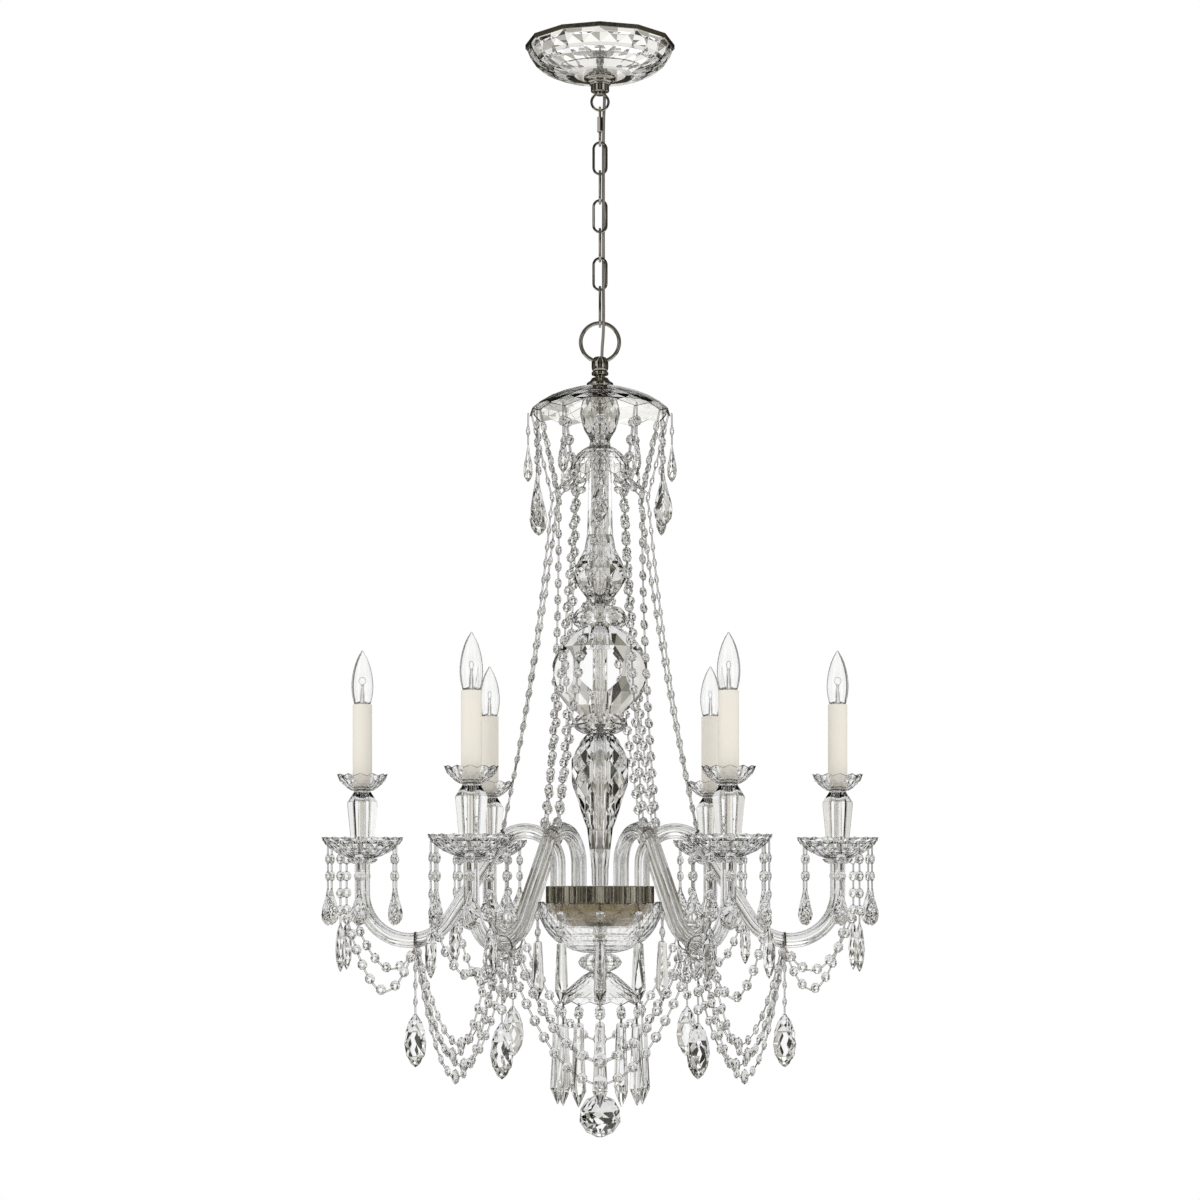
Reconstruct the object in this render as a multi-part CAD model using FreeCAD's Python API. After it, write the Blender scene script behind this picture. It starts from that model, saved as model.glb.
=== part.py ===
import FreeCAD, Part
import math
import os

# Crystal chandelier: six glass arms on a glass-clad centre rod, hung by a short chain from a ceiling canopy.
# Millimetres, +Z up. The origin is the middle of the canopy's ceiling face, so everything hangs below z = 0.
# The pieces are stacked downwards: each height below starts from the face that carries it.

V = FreeCAD.Vector
UP = V(0, 0, 1)
ORIGIN = V(0, 0, 0)

# --- driving dimensions -----------------------------------------------------------------------------------
ARMS = 6                    # arms, candles and bulbs
FACETS = 12                 # flats round every cut-glass dish
LOOSE = 0.3                 # gap between pieces that only hang or rest on each other
SLIP = 0.1                  # radial gap round a rod or tube that slides through a hole

# ceiling fixing
STRAP = (120.0, 20.0, 2.5)  # length, width and thickness of the steel crossbar
SLOT_SPACING = 89.0         # between the two slots for the ceiling-box screws
SLOT_LENGTH = 16.0
SLOT_RADIUS = 2.5
NIPPLE_RADIUS = 4.75        # threaded tube through the crossbar
NIPPLE_BORE = 3.2
NUT_FLATS = 16.0
NUT_HEIGHT = 5.0
WASHER_RADIUS = 16.0
WASHER_HEIGHT = 2.0

# canopy
CANOPY_RADIUS = 97.0
CANOPY_BAND = 6.0           # height of the nickel rim band
BAND_WALL = 1.4
CANOPY_DEPTH = 42.0
CANOPY_WALL = 4.0
CAP_RADIUS = 21.0
CAP_HEIGHT = 20.0
CAP_CUP_RADIUS = 12.0
WIRE = 1.7                  # wire radius of the loop, the quick link and the chain
LOOP_RADIUS = 11.0          # loop under the canopy, to the middle of its wire

# chain, one quick link, five links and one long link
LINK_LENGTH = 44.7          # outside length
LINK_WIDTH = 20.0           # outside width
QUICK_LENGTH = 52.2
LONG_LENGTH = 54.5
SLEEVE_NUT_FLATS = 7.5
SLEEVE_NUT_LENGTH = 19.0
QUICK_GAP = 10.0            # opening of the quick link, under its sleeve nut
HANGER_RADIUS = 25.0        # big ring, to the middle of its wire
HANGER_WIRE = 2.5
CORD_RADIUS = 1.75
CORD_HOLE = 2.05

# column, from the top
KNOB_RADIUS = 11.0
KNOB_HEIGHT = 19.5
FINIAL_RADIUS = 17.5
FINIAL_HEIGHT = 18.6
TOP_DISH_RADIUS = 92.3
TOP_DISH_HEIGHT = 39.0
DISH_WALL = 4.0
TOP_VASE_RADIUS = 26.0
TOP_VASE_HEIGHT = 73.5
SECOND_DISH_RADIUS = 39.0
SECOND_DISH_HEIGHT = 41.5
UPPER_BALUSTER_RADIUS = 35.0
UPPER_BALUSTER_HEIGHT = 206.0
NECK_RADIUS = 37.5
NECK_HEIGHT = 26.0
BALL_RADIUS = 62.4
BALL_HEIGHT = 113.0
LOWER_NECK_HEIGHT = 25.0
LOWER_BALUSTER_RADIUS = 38.6
LOWER_BALUSTER_HEIGHT = 198.0
ROD_RADIUS = 3.0
TUBE_RADIUS = 9.0           # glass tube round the rod
TUBE_BORE = 7.0
TUBE_START = 30.0           # nickel sleeve above the glass tube, inside the top vase
HUB_BOWL_RADIUS = 81.0
HUB_BOWL_HEIGHT = 66.0
HUB_STRINGS = 10
DRUM_RADIUS = HUB_BOWL_RADIUS - 10.5    # the drum and its pan stand clear inside the bowl
DRUM_HEIGHT = 22.5
DRUM_WALL = 2.0
FLUTES = 36
FLUTE_DEPTH = 2.2
CUP_DEPTH = 34.0
CUP_WALL = 2.0
KNOP_RADIUS = 28.6
KNOP_HEIGHT = 24.0
LOWER_DISH_RADIUS = 54.0
LOWER_DISH_HEIGHT = 42.0
END_NUT_RADIUS = 9.0
END_NUT_HEIGHT = 9.0

# arms: hub rise, shoulder arc, slope, U-bend and riser, all in one upright plane
ARM_TUBE = 9.3              # to the tips of the ribs
ARM_RIB = 1.0               # depth of the ribs
ARM_RIBS = 8
ARM_BORE = 5.6
ARM_ROOT = DRUM_RADIUS - 15.9   # radius of the ring of arm sockets
ARM_RISE = 49.4             # from the drum's floor up to the shoulder's centre
SHOULDER_RADIUS = 42.9
BEND_RADIUS = 61.9
BEND_DROP = 37.8            # centre of the U-bend below the shoulder's centre
CANDLE_CIRCLE = 308.9       # radius of the circle of candles
RISER = 42.0

# candles
ARM_CUP_RADIUS = 20.0
ARM_CUP_HEIGHT = 7.0
BOBECHE_RADIUS = 54.0
BOBECHE_DEPTH = 27.5
BOBECHE_WALL = 4.0
CANDLE_VASE_RADIUS = 19.9
CANDLE_VASE_HEIGHT = 84.0
SMALL_BOBECHE_RADIUS = 33.0
SMALL_BOBECHE_DEPTH = 21.5
SMALL_BOBECHE_WALL = 3.0
SLEEVE_RADIUS = 12.5
SLEEVE_WALL = 1.4
SLEEVE_HEIGHT = 109.0
PIPE_RADIUS = 4.75
PIPE_BORE = 3.0
PIPE_DEPTH = 12.0           # how far the candle pipe reaches into the arm
SOCKET_RADIUS = 9.8
SOCKET_BORE = 7.2
SOCKET_HEIGHT = 46.0
BULB_RADIUS = 14.2
BULB_HEIGHT = 70.0
BULB_TIP_RADIUS = 0.8
BULB_BASE_RADIUS = 6.9
BULB_BASE_HEIGHT = 24.0

# crystal trim
BEAD = 14.0                 # octagon, tip to tip
BEAD_THICKNESS = 7.0
PIN = 0.75                  # radius of the three-sided wire pins
PIN_GAP = 0.25              # pin to bead
PITCH = 22.0                # octagon to octagon
RING_RADIUS = 14.5          # band ring that hangs round each arm's lowest point, to the middle of its wall
RING_BAND = (1.4, 2.8)      # its wall and width
SHOULDER_BAND = (10.0, 11.4, 2.4)   # inner and outer radius and width of the hoop on each shoulder
STRAND_SAG = 6.5
PEAR = (48.0, 27.0, 13.0)   # height, width and thickness
LONG_DROP = (63.0, 19.0, 12.0)
ALMOND = (69.0, 34.0, 15.0)
PRISM_SHORT = (76.0, 17.0, 12.0)
PRISM_LONG = (103.0, 20.0, 14.0)
RIM_DROP_SMALL = (50.0, 14.0, 10.0)
RIM_DROP_LARGE = (70.0, 25.0, 13.0)
END_BALL_RADIUS = 28.0
END_BALL_BEADS = 6

# --- heights, worked out from the top down -----------------------------------------------------------------
CAP_TOP = -CANOPY_DEPTH
CAP_BOTTOM = CAP_TOP - CAP_HEIGHT
LOOP_CENTRE = CAP_BOTTOM - LOOP_RADIUS - WIRE - 0.05
LINK_HALF = LINK_WIDTH / 2 - WIRE       # half width to the middle of the wire
HANG = 2 * WIRE + LOOSE                 # next wire's middle above the wire that carries it


def hinge_heights():
    """Middle of the carrying wire for each piece of the chain, from the canopy loop to the big ring."""
    carried = [LOOP_CENTRE - LOOP_RADIUS]
    for length in [QUICK_LENGTH] + [LINK_LENGTH] * 5 + [LONG_LENGTH]:
        carried.append(carried[-1] + HANG - (length - 2 * WIRE))
    return carried


HINGES = hinge_heights()
HANGER_CENTRE = HINGES[-1] + WIRE + HANGER_WIRE + LOOSE - HANGER_RADIUS
KNOB_TOP = HANGER_CENTRE - HANGER_RADIUS + 2 * HANGER_WIRE + 0.5
FINIAL_TOP = KNOB_TOP - KNOB_HEIGHT
TOP_DISH_TOP = FINIAL_TOP - FINIAL_HEIGHT
TOP_VASE_TOP = TOP_DISH_TOP - DISH_WALL
SECOND_DISH_TOP = TOP_VASE_TOP - TOP_VASE_HEIGHT
UPPER_BALUSTER_TOP = SECOND_DISH_TOP - DISH_WALL
NECK_TOP = UPPER_BALUSTER_TOP - UPPER_BALUSTER_HEIGHT
BALL_TOP = NECK_TOP - NECK_HEIGHT
LOWER_NECK_TOP = BALL_TOP - BALL_HEIGHT
LOWER_BALUSTER_TOP = LOWER_NECK_TOP - LOWER_NECK_HEIGHT
DRUM_TOP = LOWER_BALUSTER_TOP - LOWER_BALUSTER_HEIGHT
DRUM_FLOOR = DRUM_TOP - DRUM_HEIGHT
CUP_BOTTOM = DRUM_FLOOR - CUP_DEPTH
HUB_BOWL_TOP = DRUM_FLOOR + 2.0
HUB_BOWL_BOTTOM = HUB_BOWL_TOP - HUB_BOWL_HEIGHT
KNOP_TOP = HUB_BOWL_BOTTOM - 1.0
LOWER_DISH_TOP = KNOP_TOP - KNOP_HEIGHT
LOWER_DISH_RIM = LOWER_DISH_TOP - LOWER_DISH_HEIGHT
END_NUT_TOP = LOWER_DISH_TOP - DISH_WALL
ARM_FOOT = DRUM_FLOOR + DRUM_WALL
SHOULDER_CENTRE = V(ARM_ROOT + SHOULDER_RADIUS, 0, ARM_FOOT + ARM_RISE)
BEND_CENTRE = V(CANDLE_CIRCLE - BEND_RADIUS, 0, SHOULDER_CENTRE.z - BEND_DROP)
ARM_TOP = BEND_CENTRE.z + RISER
CUP_TOP = ARM_TOP + 3.0
BOBECHE_RIM = CUP_TOP + BOBECHE_DEPTH
VASE_BOTTOM = CUP_TOP + BOBECHE_WALL
VASE_TOP = VASE_BOTTOM + CANDLE_VASE_HEIGHT
SMALL_RIM = VASE_TOP + SMALL_BOBECHE_DEPTH
SLEEVE_BOTTOM = VASE_TOP + SMALL_BOBECHE_WALL
SLEEVE_TOP = SLEEVE_BOTTOM + SLEEVE_HEIGHT
SOCKET_TOP = SLEEVE_TOP - 3.0
SOCKET_BOTTOM = SOCKET_TOP - SOCKET_HEIGHT
PIPE_TOP = SOCKET_TOP - BULB_BASE_HEIGHT - 4
BULB_BOTTOM = SLEEVE_TOP + LOOSE


# --- small helpers ----------------------------------------------------------------------------------------
def around(radius, degrees, z):
    """Point at a radius and bearing about the Z axis."""
    return V(radius * math.cos(math.radians(degrees)), radius * math.sin(math.radians(degrees)), z)


def face_of(corners):
    return Part.Face(Part.makePolygon(corners + corners[:1]))


def solid_of(faces):
    solid = Part.makeSolid(Part.makeShell(faces))
    if solid.Volume < 0:
        solid.reverse()
    return solid


def facetted(profile, sides=FACETS, hollow=False, first=0.0, aspect=1.0):
    """Cut-glass body: flat facets between rings of corners. Each ring is (radius, z) or (radius, z, shift),
    where a shift of 0.5 turns the ring half a facet, which gives triangular facets. hollow closes the
    profile on itself."""
    rings = []
    for entry in profile:
        radius, z = entry[0], entry[1]
        shift = entry[2] if len(entry) > 2 else 0.0
        if radius == 0:
            rings.append([V(0, 0, z)] * sides)
            continue
        turn = [2 * math.pi * (n + first + shift) / sides for n in range(sides)]
        rings.append([V(radius * math.cos(a), aspect * radius * math.sin(a), z) for a in turn])
    shifts = [entry[2] if len(entry) > 2 else 0.0 for entry in profile]
    faces = []
    pairs = list(zip(range(len(rings)), range(1, len(rings))))
    if hollow:
        pairs.append((len(rings) - 1, 0))
    for low, high in pairs:
        for n in range(sides):
            m = (n + 1) % sides
            a, b, c, d = rings[low][n], rings[low][m], rings[high][m], rings[high][n]
            if profile[low][0] == 0:
                faces.append(face_of([a, c, d]))
            elif profile[high][0] == 0:
                faces.append(face_of([a, b, c]))
            elif shifts[low] == shifts[high]:
                faces.append(face_of([a, b, c, d]))
            elif shifts[high] > shifts[low]:
                faces.append(face_of([a, b, d]))
                faces.append(face_of([b, c, d]))
            else:
                faces.append(face_of([a, b, c]))
                faces.append(face_of([a, c, d]))
    if not hollow and profile[0][0] > 0:
        faces.append(face_of(rings[0][::-1]))
    if not hollow and profile[-1][0] > 0:
        faces.append(face_of(rings[-1]))
    return solid_of(faces)


def hole_for(radius, sides=FACETS):
    """Corner radius of a many-sided hole whose flats clear a round piece of this radius."""
    return (radius + SLIP) / math.cos(math.pi / sides)


def turned(points):
    """Lathe-turned piece: a closed outline of (radius, z) corners, turned about the Z axis."""
    outline = [V(radius, 0, z) for radius, z in points]
    return face_of(outline).revolve(ORIGIN, UP, 360)


def tube(outer, inner, bottom, top):
    return turned([(inner, bottom), (outer, bottom), (outer, top), (inner, top)])


def hexagon(flats, bore, bottom, top):
    corners = [around(flats / math.sqrt(3), 60 * n, bottom) for n in range(6)]
    prism = face_of(corners).extrude(V(0, 0, top - bottom))
    return prism.cut(Part.makeCylinder(bore, top - bottom, V(0, 0, bottom)))


def moved(shape, offset):
    copy = shape.copy()
    copy.translate(offset)
    return copy


def spun(shape, degrees):
    copy = shape.copy()
    copy.rotate(ORIGIN, UP, degrees)
    return copy


def each_arm(shape):
    """The same piece at every arm; the piece is modelled at the arm that points along +X."""
    return [spun(shape, 360 / ARMS * n) for n in range(ARMS)]


def at_candle(shape):
    return each_arm(moved(shape, V(CANDLE_CIRCLE, 0, 0)))


def wire_section(centre, radius, along, sides=8):
    """Many-sided wire section round a point, square to the direction along."""
    normal = V(along).normalize()
    side = normal.cross(UP if abs(normal.z) < 0.9 else V(1, 0, 0)).normalize()
    other = normal.cross(side)
    turn = [2 * math.pi * (n + 0.5) / sides for n in range(sides)]
    corners = [centre + side * (radius * math.cos(a)) + other * (radius * math.sin(a)) for a in turn]
    return Part.makePolygon(corners + corners[:1])


# --- ceiling fixing and canopy ----------------------------------------------------------------------------
def ceiling_crossbar():
    length, width, thickness = STRAP
    strap = Part.makeBox(length, width, thickness, V(-length / 2, -width / 2, -thickness))
    reach = SLOT_LENGTH / 2 - SLOT_RADIUS
    for side in (-1, 1):
        middle = side * SLOT_SPACING / 2
        corner = V(middle - reach, -SLOT_RADIUS, -thickness)
        strap = strap.cut(Part.makeBox(2 * reach, 2 * SLOT_RADIUS, thickness, corner))
        for end in (-reach, reach):
            strap = strap.cut(Part.makeCylinder(SLOT_RADIUS, thickness, V(middle + end, 0, -thickness)))
    return strap.cut(Part.makeCylinder(NIPPLE_RADIUS + SLIP, thickness, V(0, 0, -thickness)))


def nipple_nuts():
    """One nut under the crossbar and one inside the canopy, each with a broad washer."""
    bore = NIPPLE_RADIUS + SLIP
    under = -STRAP[2]
    upper_seat = under - WASHER_HEIGHT
    floor = CAP_TOP + CANOPY_WALL
    lower_seat = floor + WASHER_HEIGHT
    return [
        tube(WASHER_RADIUS, bore, upper_seat, under),
        hexagon(NUT_FLATS, bore, upper_seat - NUT_HEIGHT, upper_seat),
        tube(WASHER_RADIUS, bore, floor, lower_seat),
        hexagon(NUT_FLATS, bore, lower_seat, lower_seat + NUT_HEIGHT),
    ]


def canopy_dish():
    """Shallow twelve-sided glass dish, cut in tiers of crossing facets."""
    rim = CANOPY_RADIUS - BAND_WALL - LOOSE
    tiers = [(1.0, 1.0, 0.0), (1.0, 6.5, 0.0), (0.92, 17.0, 0.5), (0.79, 26.0, 0.0), (0.62, 34.0, 0.5)]
    outer = [(rim * share, -drop, shift) for share, drop, shift in tiers]
    outer += [(CAP_RADIUS + 16.0, -CANOPY_DEPTH + 1.5, 0.0), (CAP_RADIUS, -CANOPY_DEPTH, 0.0)]
    hole = NIPPLE_RADIUS + 1.5
    inner = [(radius - CANOPY_WALL * 1.1, z + CANOPY_WALL * 0.6, shift) for radius, z, shift in outer[1:-2]]
    floor = CAP_TOP + CANOPY_WALL
    loop = outer + [(hole, CAP_TOP, 0.0), (hole, floor, 0.0), (CAP_RADIUS + 12.0, floor, 0.0)]
    loop += inner[::-1] + [(rim - CANOPY_WALL * 1.1, -1.0, 0.0)]
    return facetted(loop, hollow=True)


def canopy_cap():
    """Stepped nickel cap that clamps the glass dish; the supply cord comes out of its underside."""
    low, top, bore = CAP_BOTTOM, CAP_TOP, NIPPLE_RADIUS + SLIP
    outline = [(bore, low), (CAP_CUP_RADIUS - 1, low), (CAP_CUP_RADIUS, low + 1), (CAP_CUP_RADIUS, low + 11)]
    outline += [(CAP_RADIUS - 4, low + 12), (CAP_RADIUS - 4, top - 4.5), (CAP_RADIUS, top - 3.5)]
    outline += [(CAP_RADIUS, top), (bore, top)]
    return turned(outline).cut(Part.makeCylinder(CORD_HOLE, 6, V(CORD_ROUTE[0].x, CORD_ROUTE[0].y, low)))


def round_ring(radius, wire, centre, sides=8):
    """Wire ring standing in the XZ plane."""
    section = Part.Face(wire_section(centre + V(radius, 0, 0), wire, V(0, 0, 1), sides))
    return section.revolve(centre, V(0, 1, 0), 360)


def canopy_loop():
    ring = round_ring(LOOP_RADIUS, WIRE, V(0, 0, LOOP_CENTRE))
    collar = Part.makeCylinder(6.0, 4, V(0, 0, CAP_BOTTOM - 4))
    stem = Part.makeCylinder(NIPPLE_BORE - SLIP, 12, V(0, 0, CAP_BOTTOM - 0.5))
    return ring.fuse([collar, stem]).removeSplitter()


# --- chain, quick link and cord ---------------------------------------------------------------------------
def link_path(length, opening=0.0):
    """Middle line of a link in the XZ plane, from its top wire at the origin down. opening is a gap at +X."""
    half = length - 2 * WIRE - LINK_HALF
    near, far = -LINK_HALF, -half
    middle = (near + far) / 2
    left, right = -LINK_HALF, LINK_HALF
    top = Part.Arc(V(right, 0, near), V(0, 0, 0), V(left, 0, near)).toShape()
    bottom = Part.Arc(V(left, 0, far), V(0, 0, far - LINK_HALF), V(right, 0, far)).toShape()
    side = Part.makeLine(V(left, 0, near), V(left, 0, far))
    rise = Part.makeLine(V(right, 0, far), V(right, 0, middle - opening / 2))
    fall = Part.makeLine(V(right, 0, middle + opening / 2), V(right, 0, near))
    return [fall, top, side, bottom, rise]


def wire_link(length, opening=0.0):
    """Bent-wire link. Each stretch of its middle line carries the same eight-sided wire section."""
    pieces = []
    for edge in link_path(length, opening):
        start = edge.valueAt(edge.FirstParameter)
        section = wire_section(start, WIRE, edge.tangentAt(edge.FirstParameter))
        pieces.append(Part.Wire([edge]).makePipeShell([section], True, True))
    return pieces[0].fuse(pieces[1:]).removeSplitter()


def hung(link, height, across):
    """Hang a link by its top wire on the wire at this height; across turns it into the YZ plane."""
    return moved(spun(link, -90 if across else 0), V(0, 0, height + HANG))


def quick_link_nut():
    """Six-sided sleeve nut over the quick link's opening, on the side that faces the viewer."""
    middle = HINGES[0] + HANG - (QUICK_LENGTH - 2 * WIRE) / 2
    reach = SLEEVE_NUT_LENGTH / 2
    nut = hexagon(SLEEVE_NUT_FLATS, WIRE + SLIP, middle - reach, middle + reach)
    return moved(nut, V(0, -LINK_HALF, 0))


# The supply cord weaves down through the flat-on links, from the canopy cap to the knob of the big ring.
CORD_ROUTE = [
    V(6.0, 5.8, -58.0),
    V(5.8, 5.9, -72.0),
    V(4.6, 5.0, -98.0),
    V(4.4, 5.2, -131.0),
    V(4.4, -5.2, -165.0),
    V(4.5, -5.2, -205.5),
    V(4.4, 5.2, -240.0),
    V(4.5, 5.2, -280.0),
    V(4.4, -5.2, -315.5),
    V(4.7, -5.3, -346.0),
    V(4.6, -6.4, -376.0),
    V(2.6, -6.2, -397.0),
    V(2.4, -6.0, -411.0),
]


def cord_path(points):
    """Straight runs joined by tangent arcs, each as large as its two runs allow."""
    edges, radii, start = [], [], points[0]
    for before, corner, after in zip(points, points[1:], points[2:]):
        back, ahead = before - corner, after - corner
        turn = math.pi - back.getAngle(ahead)
        cut = 0.45 * min(back.Length, ahead.Length)
        radii.append(cut / math.tan(turn / 2))
        enter = corner + V(back).normalize() * cut
        leave = corner + V(ahead).normalize() * cut
        inward = (V(back).normalize() + V(ahead).normalize()).normalize()
        middle = corner + inward * (math.hypot(cut, radii[-1]) - radii[-1])
        edges.append(Part.makeLine(start, enter))
        edges.append(Part.Arc(enter, middle, leave).toShape())
        start = leave
    edges.append(Part.makeLine(start, points[-1]))
    return Part.Wire(edges), radii


def supply_cord():
    path, radii = cord_path(CORD_ROUTE)
    first = CORD_ROUTE[1] - CORD_ROUTE[0]
    section = Part.Wire(Part.makeCircle(CORD_RADIUS, CORD_ROUTE[0], first))
    cord = path.makePipeShell([section], True, False)
    if cord.Volume < 0:
        cord.reverse()
    share = cord.Volume / (math.pi * CORD_RADIUS ** 2 * path.Length)
    print(f"cord {path.Length:.0f} mm, volume over section times length {share:.4f}, radii",
          ", ".join(f"{r:.0f}" for r in radii))
    return cord


def hanging_ring():
    """Big ring whose foot passes through a turned knob; the cord enters the knob beside it."""
    ring = round_ring(HANGER_RADIUS, HANGER_WIRE, V(0, 0, HANGER_CENTRE))
    low, top, r = FINIAL_TOP, KNOB_TOP, KNOB_RADIUS
    outline = [(0, low), (r - 2, low), (r, low + 3), (r, top - 5), (r - 3, top), (0, top)]
    hole = Part.makeCylinder(CORD_HOLE, 9, V(CORD_ROUTE[-1].x, CORD_ROUTE[-1].y, CORD_ROUTE[-1].z - 1))
    knob = turned(outline).fuse(ring).cut(hole)
    return knob.cut(Part.makeCylinder(ROD_RADIUS, 10, V(0, 0, low)))


# --- column -----------------------------------------------------------------------------------------------
def top_finial():
    low, top, r = TOP_DISH_TOP, FINIAL_TOP, FINIAL_RADIUS
    bore = ROD_RADIUS + SLIP
    outline = [(bore, low), (r, low), (r, low + 4), (r - 3, low + 6.5), (11.5, low + 8), (11.5, low + 11)]
    outline += [(6, low + 12), (6, low + 13), (11, low + 14), (11, top), (bore, top)]
    return turned(outline)


def bell_dish(radius, height, top, apex, shoulder, hole):
    """Inverted glass dish with an open bottom: flat crown, sloping shoulder and an upright skirt."""
    wall = DISH_WALL
    outer = [(hole, top, 0.0), (apex, top, 0.0), (shoulder[0], top - shoulder[1], 0.5)]
    outer += [(radius, top - shoulder[2], 0.0), (radius, top - height, 0.0)]
    inner = [(radius - wall, top - height, 0.0), (radius - wall, top - shoulder[2] - 1.5, 0.0)]
    inner += [(shoulder[0] - wall * 0.6, top - shoulder[1] - wall, 0.5), (apex - 1, top - wall, 0.0)]
    inner += [(hole, top - wall, 0.0)]
    return facetted(outer + inner, hollow=True)


def top_vase():
    top, low, r = TOP_VASE_TOP, SECOND_DISH_TOP, TOP_VASE_RADIUS
    bore = hole_for(TUBE_RADIUS)
    outline = [(bore, top, 0.0), (13, top, 0.0), (r - 4, top - 12, 0.5), (r, top - 30, 0.0)]
    outline += [(r - 5, top - 50, 0.5), (13, low + 6, 0.0), (13, low, 0.0), (bore, low, 0.0)]
    return facetted(outline, hollow=True)


def upper_baluster():
    top, low, r = UPPER_BALUSTER_TOP, NECK_TOP, UPPER_BALUSTER_RADIUS
    bore = hole_for(TUBE_RADIUS)
    outline = [(bore, top), (12.5, top), (15.6, top - 39), (16.9, top - 117), (24, top - 140)]
    outline += [(33, top - 154), (r, top - 164), (28, top - 178), (17, top - 192), (12.5, top - 203)]
    outline += [(12.5, low), (bore, low)]
    return facetted(outline, hollow=True)


def neck_disc(top, height, start, widest, end):
    bore = hole_for(TUBE_RADIUS)
    middle = top - height * 0.58
    outline = [(bore, top, 0.0), (start, top, 0.0), (widest, middle, 0.5), (end, top - height, 0.0)]
    outline += [(bore, top - height, 0.0)]
    return facetted(outline, hollow=True)


def crystal_ball():
    """Cut ball, flat above and below, with rows of kite-like facets."""
    middle = BALL_TOP - BALL_HEIGHT / 2
    bore = hole_for(TUBE_RADIUS)
    flat = math.degrees(math.asin(BALL_HEIGHT / 2 / BALL_RADIUS))
    rows = [flat, 44.0, 22.0, 0.0, -22.0, -44.0, -flat]
    outline = [(bore, middle + BALL_HEIGHT / 2, 0.0)]
    for n, row in enumerate(rows):
        radius, z = BALL_RADIUS * math.cos(math.radians(row)), BALL_RADIUS * math.sin(math.radians(row))
        outline.append((radius, middle + z, 0.5 * (n % 2)))
    outline.append((bore, middle - BALL_HEIGHT / 2, 0.0))
    return facetted(outline, hollow=True)


def lower_baluster():
    top, low, r = LOWER_BALUSTER_TOP, DRUM_TOP, LOWER_BALUSTER_RADIUS
    bore = hole_for(TUBE_RADIUS)
    outline = [(bore, top), (18, top), (24, top - 16), (r - 2, top - 31), (r, top - 50), (r - 4, top - 70)]
    outline += [(28, top - 90), (19.5, top - 112), (12.0, top - 135), (11.0, low), (bore, low)]
    return facetted(outline, hollow=True)


def glass_tube():
    """Clear tube inside the column, from the second dish down to the knop under the hub."""
    return tube(TUBE_RADIUS, TUBE_BORE, LOWER_DISH_TOP, TOP_VASE_TOP - TUBE_START)


def centre_rod():
    return Part.makeCylinder(ROD_RADIUS, FINIAL_TOP + 9 - (END_NUT_TOP - END_NUT_HEIGHT + 2),
                             V(0, 0, END_NUT_TOP - END_NUT_HEIGHT + 2))


# --- hub --------------------------------------------------------------------------------------------------
def hub_drum():
    """Fluted nickel drum, open below its lid, with a floor that carries the arm sockets."""
    step = 360 / FLUTES
    bed = DRUM_RADIUS - FLUTE_DEPTH
    lid = DRUM_TOP - DRUM_WALL
    corners = []
    for n in range(FLUTES):
        corners.append(around(DRUM_RADIUS, step * n, DRUM_FLOOR))
        corners.append(around(bed, step * (n + 0.5), DRUM_FLOOR))
    drum = face_of(corners).extrude(V(0, 0, DRUM_HEIGHT))
    inside = tube(bed - DRUM_WALL, TUBE_RADIUS + 6, DRUM_FLOOR + DRUM_WALL, lid)
    centre = Part.makeCylinder(TUBE_RADIUS + SLIP, DRUM_HEIGHT, V(0, 0, DRUM_FLOOR))
    hole = Part.makeCylinder(ARM_TUBE + LOOSE, DRUM_WALL + 1, V(ARM_ROOT, 0, lid))
    return drum.cut([inside, centre] + each_arm(hole))


def scaled(rows, radius, low, height):
    """Outline of a size from rows of (share of the radius, share of the height, shift)."""
    return [(row[0] * radius, low + row[1] * height) + row[2:] for row in rows]


def hub_cup():
    """Nickel pan under the drum, seen brownish through the glass bowl."""
    bore = TUBE_RADIUS + SLIP
    rows = [(0.34, 0.0), (0.68, 0.265), (0.905, 0.618), (1.0, 1.0)]
    under = scaled(rows, DRUM_RADIUS, CUP_BOTTOM, CUP_DEPTH)
    inside = [(radius - CUP_WALL / 2, z + CUP_WALL) for radius, z in under[:-1]]
    outline = [(bore, CUP_BOTTOM)] + under + [(DRUM_RADIUS - CUP_WALL, DRUM_FLOOR)] + inside[::-1]
    return turned(outline + [(bore, CUP_BOTTOM + CUP_WALL)])


def hub_bowl():
    """Deep cut-glass bowl round the nickel pan; the strings of prisms hang from its rim."""
    hole = hole_for(TUBE_RADIUS, 2 * HUB_STRINGS)
    outer = [(0.27, 0.0, 0.0), (0.59, 0.135, 0.5), (0.815, 0.365, 0.0), (0.988, 0.667, 0.5), (1.0, 1.0, 0.0)]
    inner = [(0.94, 1.0, 0.0), (0.925, 0.7, 0.5), (0.765, 0.425, 0.0), (0.555, 0.21, 0.5), (0.26, 0.075, 0.0)]
    outline = scaled(outer + inner, HUB_BOWL_RADIUS, HUB_BOWL_BOTTOM, HUB_BOWL_HEIGHT)
    outline = [(hole, outline[0][1], 0.0)] + outline + [(hole, outline[-1][1], 0.0)]
    return facetted(outline, sides=2 * HUB_STRINGS, hollow=True, first=HUB_STRINGS / 2)


def lower_knop():
    """Lobed glass collar on the tube under the hub bowl."""
    top, low = KNOP_TOP, LOWER_DISH_TOP
    bore = hole_for(TUBE_RADIUS, 8)
    outline = [(bore, top, 0.0), (14, top, 0.0), (KNOP_RADIUS, top - 10, 0.5)]
    outline += [(KNOP_RADIUS - 4, low + 6, 0.0), (13, low, 0.5), (bore, low, 0.5)]
    return facetted(outline, sides=8, hollow=True)


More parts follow.
